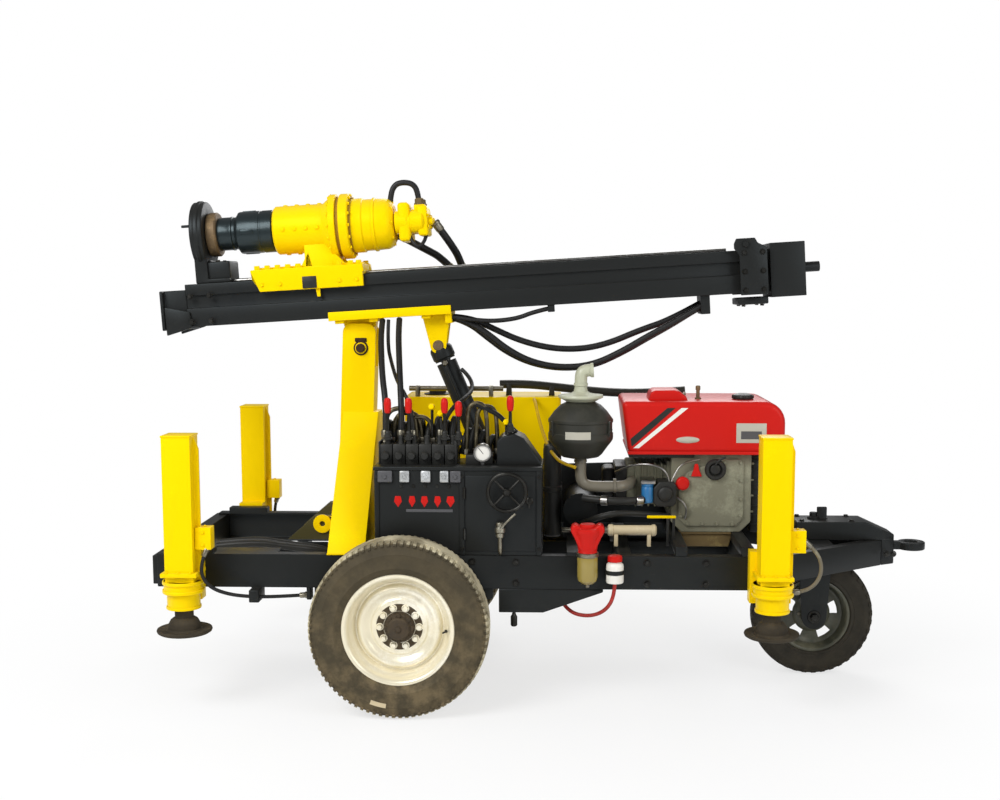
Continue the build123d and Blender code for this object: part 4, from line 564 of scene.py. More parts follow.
def rubber(name, colour, worn, dust_amount=0.6, roughness=0.7, dust=(0.19, 0.15, 0.1), shine=0.3,
        shoulder=None):
    """Rubber with dust low down; a tyre also has dry dust on its shoulder, beyond a radius about its axle."""
    material, tree, shader = new_material(name)
    base = blend_colour(tree, effect(tree, "grime", Scale=12.0, Amount=0.8), colour, worn)
    final = blend_colour(tree, effect(tree, "dust", Amount=dust_amount, Height=0.9), base, dust)
    if shoulder:
        x, z, radius, pale = shoulder
        level = tree.nodes.new("ShaderNodeVectorMath")
        level.operation = "MULTIPLY_ADD"
        level.inputs[1].default_value = (1, 0, 1)
        level.inputs[2].default_value = (-x, 0, -z)
        tree.links.new(object_place(tree), level.inputs[0])
        reach = tree.nodes.new("ShaderNodeVectorMath")
        reach.operation = "LENGTH"
        tree.links.new(level.outputs["Vector"], reach.inputs[0])
        outer = remap(tree, reach.outputs["Value"], radius - 0.014, radius - 0.008)
        patches = remap(tree, noise(tree, object_place(tree), 9.0, 3), 0.35, 0.62, 0.25, 0.95)
        final = blend_colour(tree, sums(tree, "MULTIPLY", outer, patches), final, pale)
    tree.links.new(final, shader.inputs["Base Color"])
    shader.inputs["Roughness"].default_value = roughness
    shader.inputs["Specular IOR Level"].default_value = shine
    bump(tree, shader, effect(tree, "skin", Peel=0.8, Waves=0.3), 0.3)
    return material


def steel(name, colour, dark, roughness=0.28, metallic=1.0, patches=22.0, marks=0.6):
    """Bare or plated metal with fine marks of wear."""
    material, tree, shader = new_material(name)
    base = blend_colour(tree, effect(tree, "grime", Scale=patches, Amount=0.7), colour, dark)
    tree.links.new(base, shader.inputs["Base Color"])
    worn = effect(tree, "scuffs", Amount=marks)
    tree.links.new(remap(tree, worn, 0, 1, roughness, roughness + 0.3), shader.inputs["Roughness"])
    shader.inputs["Metallic"].default_value = metallic
    bump(tree, shader, effect(tree, "skin", Peel=0.2, Waves=0.2), 0.15)
    return material


YELLOW = paint("yellow_paint", (0.93, 0.69, 0.001), (0.89, 0.61, 0.001), (0.66, 0.47, 0.05), 0.36, 0.0, 0.2,
    0.1, None, 0.32, (1.0, 0.78, 0.05))
BLACK = paint("black_paint", (0.0085, 0.009, 0.0095), (0.014, 0.014, 0.013), (0.065, 0.06, 0.048), 0.4, 0.0,
    0.22, 0.2, (0.05, 0.047, 0.042), 0.2, (0.8, 0.93, 1.0))
RED = paint("red_paint", (0.62, 0.018, 0.012), (0.52, 0.012, 0.009), (0.46, 0.13, 0.09), 0.32, 0.0, 0.06, 0.08,
    None, 0.3, (1.0, 0.4, 0.36))
SILVER = steel("silver_paint", (1.0, 0.96, 0.83), (0.84, 0.77, 0.58), 0.3, 0.35, 4.0, 0.1)
OCHRE = casting("ochre_joint", (0.46, 0.27, 0.006), (0.3, 0.16, 0.006), (0.4, 0.26, 0.04), 0.5)
# A dark olive-brown for the ring under the wheel nuts, which lies between the pale nuts
NUT_RING_DARK = casting("dark_nut_ring", (0.13, 0.1, 0.055), (0.06, 0.042, 0.022), (0.16, 0.12, 0.07), 0.5)
# A dark olive-brown for the stay plates behind the post, darker than the post's yellow
STAY_OLIVE = paint("stay_olive", (0.105, 0.092, 0.022), (0.06, 0.052, 0.016), (0.14, 0.11, 0.05), 0.5, 0.0, 0.4, 0.3,
    (0.04, 0.035, 0.02), 0.25)
GREEN_CAST = casting("grey_green_cast", (0.25, 0.25, 0.175), (0.17, 0.165, 0.115), (0.3, 0.27, 0.19), grime=0.6)
BROWN = casting("brown_pan", (0.25, 0.185, 0.06), (0.12, 0.08, 0.028), (0.26, 0.19, 0.09), 0.45)
RUST = casting("rusty_iron", (0.1, 0.05, 0.024), (0.05, 0.028, 0.016), (0.16, 0.11, 0.06), 0.75, 0.2)
TYRE = rubber("tyre_rubber", (0.013, 0.012, 0.009), (0.024, 0.021, 0.015), 0.35, 0.7, (0.09, 0.072, 0.045),
    0.22)
HOSE = rubber("hose_rubber", (0.006, 0.006, 0.007), (0.012, 0.012, 0.012), 0.15, 0.45, (0.07, 0.06, 0.05))
PALE_HOSE = rubber("pale_hose", (0.26, 0.24, 0.16), (0.14, 0.12, 0.08), 0.3, 0.5)
YELLOW_HOSE = rubber("yellow_cable", (0.78, 0.5, 0.004), (0.52, 0.32, 0.006), 0.1, 0.4)
RED_HOSE = rubber("red_hose", (0.5, 0.03, 0.02), (0.3, 0.02, 0.015), 0.2, 0.4)
STEEL = steel("bright_steel", (0.56, 0.56, 0.55), (0.3, 0.29, 0.27))
ZINC = steel("zinc_fitting", (0.46, 0.44, 0.36), (0.24, 0.22, 0.17), 0.4)
BRASS = steel("tan_bush", (0.3, 0.2, 0.095), (0.15, 0.1, 0.05), 0.55, 0.5)
FOOT = casting("black_foot", (0.016, 0.013, 0.009), (0.034, 0.026, 0.015), (0.11, 0.085, 0.05), 0.6)
HUB_IRON = casting("hub_iron", (0.024, 0.019, 0.013), (0.06, 0.042, 0.024), (0.13, 0.1, 0.06), 0.5, 0.2)
RIM_DARK = paint("dark_rim", (0.02, 0.022, 0.018), (0.05, 0.052, 0.036), (0.2, 0.185, 0.12), 0.32, 0.0, 0.5,
    0.3, None, 0.4)
MAIN_TYRE = rubber("main_tyre_rubber", (0.04, 0.031, 0.016), (0.052, 0.041, 0.022), 0.75, 0.72,
    (0.25, 0.185, 0.095), 0.3, (AXLE_X, AXLE_Z, AXLE_Z, (0.56, 0.5, 0.34)))
BLUE_BLACK = paint("blue_black", (0.007, 0.013, 0.015), (0.012, 0.016, 0.017), (0.05, 0.05, 0.045), 0.3, 0.1,
    0.1, 0.25, (0.1, 0.1, 0.09), 0.35, (0.7, 0.93, 1.0))
WHITE_TRIM = paint("white_trim", (0.86, 0.86, 0.82), (0.76, 0.74, 0.68), (0.6, 0.55, 0.42), 0.35, 0.2, 0.2, 0.1)
PALE_TRIM = paint("pale_trim", (0.52, 0.5, 0.42), (0.42, 0.4, 0.33), (0.5, 0.45, 0.34), 0.45, 0.1, 0.2, 0.1)
PALE_STACK = paint("pale_stack", (0.6, 0.62, 0.49), (0.44, 0.45, 0.33), (0.45, 0.38, 0.26), 0.45, 0.1, 0.3, 0.3,
    (0.3, 0.22, 0.13))
PALE_TUBE = paint("pale_tube", (0.8, 0.72, 0.5), (0.58, 0.48, 0.3), (0.5, 0.42, 0.26), 0.4, 0.1, 0.3, 0.2)
CLEANER = paint("cleaner_grey", (0.04, 0.039, 0.03), (0.026, 0.026, 0.02), (0.13, 0.12, 0.09), 0.42, 0.0, 0.45,
    0.2, None, 0.35)
CLEANER_PIPE = paint("pipe_brown_grey", (0.25, 0.235, 0.18), (0.15, 0.135, 0.1), (0.28, 0.24, 0.17), 0.36, 0.1,
    0.4, 0.2)
PIPE_TAN = steel("pipe_tan", (0.26, 0.22, 0.14), (0.11, 0.095, 0.06), 0.42)
STEEL_DARK = steel("dark_steel", (0.07, 0.07, 0.066), (0.035, 0.034, 0.031), 0.4)
SILVER_END = steel("silver_end", (0.72, 0.74, 0.76), (0.45, 0.46, 0.46), 0.35, 0.6)
GREY_END = paint("grey_end", (0.11, 0.105, 0.12), (0.07, 0.07, 0.075), (0.2, 0.19, 0.17), 0.4, 0.0, 0.2, 0.2)
BLUE = paint("blue_filter", (0.03, 0.22, 0.5), (0.02, 0.15, 0.36), (0.2, 0.24, 0.28), 0.3, 0.2, 0.2, 0.1)
AMBER = paint("amber_bowl", (0.44, 0.36, 0.08), (0.28, 0.21, 0.045), (0.42, 0.36, 0.18), 0.16, 0.3, 0.1, 0.05)
PLASTIC = rubber("dark_plastic", (0.011, 0.0115, 0.012), (0.02, 0.02, 0.018), 0.2, 0.42, (0.08, 0.07, 0.055))


# Stage: a pale floor that fades to white away from the machine, soft lamps and a plain world
def mix_shaders(tree, share, first, second, output):
    mix = tree.nodes.new("ShaderNodeMixShader")
    for source, socket in zip((share, first, second), mix.inputs):
        tree.links.new(source, socket)
    tree.links.new(mix.outputs["Shader"], tree.nodes[output].inputs["Surface"])


def add_stage():
    deselect()
    bpy.ops.mesh.primitive_plane_add(size=40, location=(0, 0, 0))
    floor = bpy.context.object
    floor.name = "floor"
    material, tree, shader = new_material("pale_floor")
    shader.inputs["Base Color"].default_value = (0.86, 0.86, 0.86, 1)
    shader.inputs["Roughness"].default_value = 0.9
    glow = tree.nodes.new("ShaderNodeEmission")
    glow.inputs["Color"].default_value = (1, 1, 1, 1)
    glow.inputs["Strength"].default_value = 1.0
    length = tree.nodes.new("ShaderNodeVectorMath")
    length.operation = "LENGTH"
    tree.links.new(object_place(tree), length.inputs[0])
    away = remap(tree, length.outputs["Value"], 1.2, 3.2, 0.7, 1.0)
    seen = tree.nodes.new("ShaderNodeLightPath").outputs["Is Camera Ray"]
    mix_shaders(tree, sums(tree, "MULTIPLY", away, seen), shader.outputs["BSDF"], glow.outputs["Emission"],
        "Material Output")
    floor.data.materials.append(material)

    world = bpy.data.worlds.new("plain")
    bpy.context.scene.world = world
    world.use_nodes = True
    sky = world.node_tree
    lit = sky.nodes["Background"]
    lit.inputs["Color"].default_value = (0.96, 0.98, 1.0, 1)
    white = sky.nodes.new("ShaderNodeBackground")
    white.inputs["Color"].default_value = (1, 1, 1, 1)
    white.inputs["Strength"].default_value = 1.0
    paths = sky.nodes.new("ShaderNodeLightPath").outputs
    dimmed = sums(sky, "MULTIPLY", paths["Is Glossy Ray"], 0.32)
    sky.links.new(sums(sky, "SUBTRACT", 0.54, dimmed), lit.inputs["Strength"])
    seen = sums(sky, "MAXIMUM", paths["Is Camera Ray"], paths["Is Transmission Ray"])
    mix_shaders(sky, seen, lit.outputs["Background"], white.outputs["Background"], "World Output")

    for name, place, size, power in (("key", (-3.2, -4.2, 4.6), 3.0, 272), ("fill", (4.0, -3.6, 2.8), 3.0, 95),
            ("back", (0.5, 4.5, 4.0), 3.5, 130)):
        lamp = bpy.data.lights.new(name, "AREA")
        lamp.size = size
        lamp.energy = power
        holder = bpy.data.objects.new(name, lamp)
        holder.location = place
        aim = Vector((0, 0, 0.9)) - Vector(place)
        holder.rotation_euler = aim.to_track_quat("-Z", "Y").to_euler()
        bpy.context.scene.collection.objects.link(holder)
    bpy.context.scene.view_settings.view_transform = "Standard"


# Hoses: the routes' points, typed in millimetres, from the fitting to the far end
FESTOON_NEAR = mm((-413, -50, 1594), (-345, -50, 1580), (-262, -50, 1528), (-176, -50, 1458), (-71, -50, 1402),
    (60, -50, 1376), (201, -50, 1388), (330, -50, 1448), (450, -50, 1520), (565, -50, 1580), (681, -50, 1650))
FESTOON_MID = mm((-413, 0, 1598), (-335, 0, 1592), (-240, 0, 1548), (-123, 0, 1494), (20, 0, 1458),
    (159, 0, 1456), (280, 0, 1484), (410, 0, 1540), (545, 0, 1586), (681, 0, 1662))
FESTOON_FAR = mm((-413, 50, 1590), (-348, 50, 1570), (-270, 50, 1508), (-180, 50, 1440), (-72, 50, 1390),
    (60, 50, 1366), (205, 50, 1378), (335, 50, 1438), (455, 50, 1508), (570, 50, 1572), (681, 50, 1644))
FESTOON_SHORT = mm((-413, -78, 1600), (-340, -78, 1589), (-240, -78, 1580), (-130, -78, 1592), (-55, -78, 1622),
    (17, -78, 1638))
HEAD_HOSE_TOP = mm((-492, 46, 2006), (-462, 56, 1966), (-428, 84, 1916), (-398, 124, 1864), (-382, 165, 1807))
HEAD_HOSE_REAR = mm((-660, 92, 1958), (-606, 128, 1928), (-545, 150, 1896), (-482, 162, 1862),
    (-426, 165, 1804))
JACK_HOSE_FRONT = mm((1038, 640, 720), (1088, 640, 682), (1110, 640, 615), (1092, 640, 555), (1042, 640, 518),
    (990, 640, 514))
JACK_HOSE_REAR = mm((-1362, 655, 680), (-1380, 672, 630), (-1380, 675, 570), (-1346, 655, 518),
    (-1282, 610, 482), (-1205, 560, 462), (-1110, 515, 452), (-990, 490, 455))
YELLOW_CABLE = mm((-60, 184, 1215), (-58, 150, 1222), (-34, 40, 1130), (0, -60, 1040), (40, -160, 992),
    (80, -240, 974), (125, -290, 968))
DRAIN_HOSE = mm((286, -556, 527), (284, -558, 478), (258, -548, 420), (205, -520, 382), (135, -480, 374),
    (88, -452, 396), (66, -440, 430))
# Hoses that cross a joint, from the body they start on to the one they end on
RISER_LEFT = mm((-668, -400, 1104), (-666, -396, 1170), (-670, -372, 1262), (-690, -310, 1350),
    (-706, -220, 1452), (-716, -150, 1530), (-716, -96, 1585))
RISER_RIGHT = mm((-602, -400, 1104), (-600, -398, 1160), (-604, -374, 1250), (-616, -308, 1345),
    (-630, -220, 1450), (-640, -150, 1530), (-642, -96, 1590))
RISER_THIN = mm((-552, -400, 1104), (-552, -396, 1180), (-580, -360, 1270), (-630, -290, 1330),
    (-664, -200, 1400), (-690, -140, 1480), (-690, -96, 1586))
CYLINDER_HOSE = mm((-440, -390, 1104), (-430, -386, 1160), (-390, -340, 1230), (-340, -240, 1262),
    (-318, -130, 1290), (-340, -62, 1340), (-376, -40, 1368))


def run_length(points):
    return sum((Vector(b) - Vector(a)).length for a, b in zip(points, points[1:]))


def hose(node, points, radius, body, material):
    piece = route_curve(node + "_hose", points, radius)
    piece.data.materials.append(material)
    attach(piece, body)
    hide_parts(node)


def path_of(points):
    """The smooth line that a route's points give."""
    centre = route_curve("centre", points, 0.0)
    bpy.context.view_layer.update()
    line = bpy.data.meshes.new_from_object(centre)
    path = [tuple(v.co) for v in line.vertices]
    bpy.data.objects.remove(centre)
    return path


def joint_hose(name, points, radius):
    """A hose across a joint: a fixed mesh tube along the route between the chassis and the body it ends on."""
    path = path_of(points)
    piece = as_mesh(route_curve(name, points, radius))
    piece.data.materials.append(HOSE)
    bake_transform(piece)


def add_hoses():
    for name, points, radius, length in (("near", FESTOON_NEAR, 0.014, 1.216),
            ("mid", FESTOON_MID, 0.014, 1.16), ("far", FESTOON_FAR, 0.014, 1.221),
            ("short", FESTOON_SHORT, 0.01, 0.439)):
        hose("festoon_hose_" + name, points, radius, "mast", HOSE)
    hose("head_hose_top", HEAD_HOSE_TOP, 0.017, "carriage", HOSE)
    hose("head_hose_rear", HEAD_HOSE_REAR, 0.017, "carriage", HOSE)
    hose("drain_hose", DRAIN_HOSE, 0.008, "chassis", RED_HOSE)
    for side, sign in SIDES:
        front = [(x, sign * y, z) for x, y, z in JACK_HOSE_FRONT]
        rear = [(x, sign * y, z) for x, y, z in JACK_HOSE_REAR]
        hose("jack_hose_front_" + side, front, 0.0075, "chassis", PALE_HOSE)
        hose("jack_hose_rear_" + side, rear, 0.0075, "chassis", HOSE)
    for name, points, radius in (("riser_left", RISER_LEFT, 0.013), ("riser_right", RISER_RIGHT, 0.013),
            ("riser_thin", RISER_THIN, 0.008)):
        joint_hose(name, points, radius)
    joint_hose("cylinder_hose", CYLINDER_HOSE, 0.009)


# Chassis: CAD forms with rounded edges, and the bolts, welds and fittings on them
def weld(name, runs, radius=0.0028):
    """Weld beads along short runs of points."""
    return join(name, [pipe(name, run, radius, order=2) for run in runs])


def add_chassis():
    for node in ("rail_near", "rail_far", "cross_members", "drawbar_near", "drawbar_far", "swivel_beam"):
        softened(node, BLACK, 0.004)
    softened("tow_eye", BLACK, 0.005, 3)
    softened("axle", BLACK, 0.004)
    softened("leaf_springs", BLACK, 0.002)
    softened("belly_box", BLACK, 0.004)
    post = softened("mast_post", YELLOW, 0.006, 3)
    # The stay plates of the post take the dark olive-brown, the rest of the post stays yellow
    post.data.materials.append(STAY_OLIVE)
    edit(post)

    stay_pin_x, stay_pin_z = -0.975, 0.703

    def on_stay(centre, normal):
        from_pin = math.hypot(centre.x - stay_pin_x, centre.z - stay_pin_z)
        on_pin_boss = from_pin < 0.045 and abs(centre.y) > 0.2005
        return centre.x < -0.93 and centre.z < 0.75 and not on_pin_boss

    pick(post, on_stay)
    post.active_material_index = 1
    bpy.ops.object.material_slot_assign()
    done()
    for name, _ in JACKS:
        softened("jack_tube_" + name, YELLOW, 0.005, 3)
    for side, sign in SIDES:
        out = (0, sign, 0)
        heads = []
        for x in (-0.3, -0.12, 0.42, 0.66):
            heads += [((x, sign * 0.52, 0.606), out), ((x, sign * 0.52, 0.518), out)]
        dress(bolts("rail_bolts_" + side, heads, 0.011, 0.009), STEEL_DARK)
        stiffeners = [drawn("stiffener", rectangle(x - 0.004, x + 0.004, 0.503, 0.621), sign * 0.492,
            sign * 0.519, edge=0.0015) for x in (-0.98, -0.25, 0.13, 0.5, 0.78)]
        dress(join("rail_stiffeners_" + side, stiffeners), BLACK)
    lines = [pipe("line", [(-1.489, y, 0.565 + rise), (-1.32, y, 0.585 + rise), (-1.163, y * 0.6, 0.56 + rise),
        (-1.0, y * 0.6, 0.545 + rise), (-0.9, y * 0.4, 0.5)], radius) for y, rise, radius in mm((-30, 0, 16),
        (30, 4, 16), (80, -12, 11))]
    dress(join("rear_lines", lines), PLASTIC)
    beams = [drawn("centre_beam", [(x0, 0.512), (x1, 0.512), (x1, 0.526), (x1 - 0.014, z), (x0 + 0.014, z),
        (x0, 0.526)], 0.04, 0.054, edge=0.003) for x0, x1, z in ((-0.11, 0.86, 0.582), (-1.49, -0.985, 0.572))]
    dress(join("centre_beams", beams), BLACK)
    plug = turned("hanging_plug", mm((0, 331), (10, 331), (14, 336), (14, 372), (9, 380), (6, 392), (6, 500),
        (0, 500)), shift(-0.128, -0.5), 20)
    dress(plug, STEEL_DARK)
    add_post_pin()
    add_jack_details()
    add_drawbar_details()


def add_post_pin():
    pins = []
    for _, sign in SIDES:
        place = at((PIVOT.x, sign * 0.06, PIVOT.z), (0, sign, 0))
        pins.append(turned("pin", mm((0, 24), (16, 24), (20, 20), (20, 6), (31, 4), (33, 0)), place, 32))
        keeper = block("keeper", (-0.026, -0.009, 0), (0.026, 0.009, 0.005), place @ shift(0, 0.036))
        pins.append(keeper)
        pins.append(bolts("keeper_bolts", [(place @ Vector((x, 0.036, 0.005)), (0, sign, 0))
            for x in (-0.017, 0.017)], 0.005, 0.004))
    dress(join("pivot_pin", pins), RUST)
    seams = []
    for _, sign in SIDES:
        seams.append([(-0.9, sign * 0.521, 0.634), (-0.745, sign * 0.521, 0.634)])
        seams.append([(-0.744, sign * 0.5, 0.634), (-0.744, sign * 0.2, 0.634)])
    dress(weld("post_welds", seams, 0.004), YELLOW)


def add_jack_details():
    for name, sign in JACKS:
        rear = name.startswith("rear")
        x = REAR_JACK_X if rear else FRONT_JACK_X
        y = sign * JACK_Y
        details = []
        for corner in (-1, 1):
            seam = [(x + 0.0585, y + corner * 0.0065, 0.6), (x + 0.0585, y + corner * 0.0065, 1.13)]
            details.append(pipe("seam", seam, 0.0024, order=2))
        ring = mm((62, 0), (81.5, 0), (83.5, 3), (83.5, 12), (81.5, 15), (62, 15))
        for z in (0.5, 0.536):
            details.append(turned("ring", ring, shift(x, y, z), 48, closed=True))
        lip = mm((66.5, 0), (69, 1), (70.5, 6), (69, 12), (66.5, 13))
        details.append(turned("lip", lip, shift(x, y, 0.434), 48, closed=True))
        details.append(block("cap", (x - 0.0605, y - 0.0605, 1.136), (x + 0.0605, y + 0.0605, 1.144),
            edge=0.003))
        details.append(block("flange", (x - 0.0735, y - 0.0735, 0.572), (x + 0.0735, y + 0.0735, 0.59),
            edge=0.004))
        dress(join("jack_rings_" + name, details), YELLOW)
        heads = [((x + dx, y + sign * 0.066, 0.59), (0, 0, 1)) for dx in (-0.05, 0.0, 0.05)]
        heads += [((x + 0.092, y + sign * 0.0285, z), (0, sign, 0)) for z in (0.7, 0.75)]
        heads += [((x + 0.095, y, 0.771), (0, 0, 1))]
        dress(bolts("jack_bolts_" + name, heads, 0.006, 0.005), YELLOW)
        if rear:
            ends = (((-1.362, sign * 0.655, 0.68), (-0.018, 0.017 * sign, -0.05)),
                ((-0.99, sign * 0.49, 0.455), (-0.12, 0.025 * sign, -0.003)))
        else:
            ends = (((1.038, y, 0.72), (0.05, 0, -0.038)), ((0.99, y, 0.514), (0.052, 0, 0.004)))
        profile = mm((0, 0), (13, 0), (14, 2), (14, 14), (11.5, 16), (11.5, 34), (9.5, 38), (0, 38))
        sleeves = [turned("sleeve", profile, at(Vector(end) - Vector(way).normalized() * 0.006, way), 24)
            for end, way in ends]
        dress(join("jack_fittings_" + name, sleeves), ZINC)
        foot = mm((0, 332), (100, 332), (108, 337), (111, 344), (109, 350), (100, 349), (72, 345), (66, 352),
            (63, 372), (54, 388), (46, 394), (37.5, 398), (37.5, 1098), (34, 1100), (0, 1100))
        leg = turned("jack_leg_turned", foot, shift(x, y), 64)
        dress(leg, FOOT, node="jack_leg_" + name)


def add_drawbar_details():
    king_place = at((NOSE_X, 0, 0.7))
    details = [turned("boss", mm((0, 12), (22, 12), (26, 9), (26, 0)), king_place, 32), turned("king_nut",
        mm((0, 30), (15, 30), (17, 27), (17, 12)), king_place, 6)]
    dress(join("king_pin_cap", details), BLACK)
    heads = [((x, y, 0.7005), (0, 0, 1)) for x in (1.13, 1.35) for y in (-0.062, 0.062)]
    heads += [((x, sign * 0.088, 0.56), (0, sign, 0)) for x in (1.5, 1.53) for _, sign in SIDES]
    dress(bolts("drawbar_bolts", heads, 0.01, 0.008), STEEL_DARK)


# Engine: one lying cylinder under a red hood
HOOD_SIDE = 0.2352
PLATE_SIDE = 0.2362


def add_hood():
    outline = mm((352, 1022), (323, 1244), (930, 1244))
    for index in range(1, 9):
        angle = math.radians(90 - index * 11.25)
        outline.append((0.93 + 0.092 * math.cos(angle), 1.152 + 0.092 * math.sin(angle)))
    outline.append((1.022, 1.022))
    hood = drawn("hood", outline, -0.235, 0.235, edge=0.024, steps=6)
    lip = mm((350, 1016), (350, 1030), (1024, 1030), (1024, 1016))
    hem = drawn("hem", lip, -0.2375, 0.2375, edge=0.004)
    hump = mm((440, 1238), (450, 1276), (464, 1287), (556, 1288), (574, 1282), (602, 1262), (612, 1240))
    dome = drawn("hump", hump, -0.175, 0.01, edge=0.012, steps=5)
    ribs = []
    for z in (1.06, 1.085, 1.11, 1.135):
        ribs.append(drawn("rib", [(1.018, z), (1.028, z + 0.003), (1.026, z + 0.01), (1.018, z + 0.012)], -0.15,
            0.15, edge=0.0015))
    dress(join("hood", [hood, hem, dome] + ribs), RED, node="engine_hood")

    white = mm((374, 1044), (398, 1044), (606, 1217), (578, 1217))
    dark = mm((362, 1084), (366, 1054), (370, 1052), (552, 1217), (518, 1217))
    for side, sign in SIDES:
        for name, outline, material in (("white", white, WHITE_TRIM), ("dark", dark, PLASTIC)):
            stripe = drawn(name + "_stripe_" + side, outline, sign * HOOD_SIDE, sign * 0.2358, edge=0)
            dress(stripe, material)
        plate = drawn("plate", rectangle(0.812, 0.94, 1.068, 1.152), sign * HOOD_SIDE, sign * PLATE_SIDE,
            edge=0.0003)
        oval = shift(0.606, sign * HOOD_SIDE, 1.08) @ Matrix.Diagonal((0.05, 1, 0.014, 1))
        disc = mm((0, 1.2), (970, 1.2), (1000, 0))
        badge = turned("badge", disc, oval @ at((0, 0, 0), (0, sign, 0)), 40)
        dress(join("blank_plates_" + side, [plate, badge]), PALE_TRIM)
        panel = drawn("plate_panel_" + side, rectangle(0.832, 0.92, 1.084, 1.118), sign * PLATE_SIDE,
            sign * 0.2366, edge=0)
        dress(panel, GREY_END)

    filler_place = at((0.855, -0.1, 1.244))
    seam = turned("filler_ring", mm((36, 0), (44, 1), (46, 10), (42, 20), (20, 26), (0, 27)), filler_place, 40)
    grips = [block("grip", (-0.003, 0.04, 0.004), (0.003, 0.048, 0.018),
        filler_place @ Matrix.Rotation(math.radians(30 * step), 4, "Z"), edge=0.001) for step in range(12)]
    dress(join("filler_cap", [seam] + grips), PLASTIC)
    nozzle = turned("nozzle", mm((14, 0), (14, 6), (8, 10), (8, 40), (10.5, 42), (10.5, 56), (7, 60), (0, 60)),
        at((0.66, -0.1, 1.243)), 24)
    seam = pipe("hump_clip", mm((592, -150, 1262), (604, -100, 1272), (606, -20, 1262)), 0.007)
    dress(join("hood_fittings", [nozzle, seam]), BRASS)


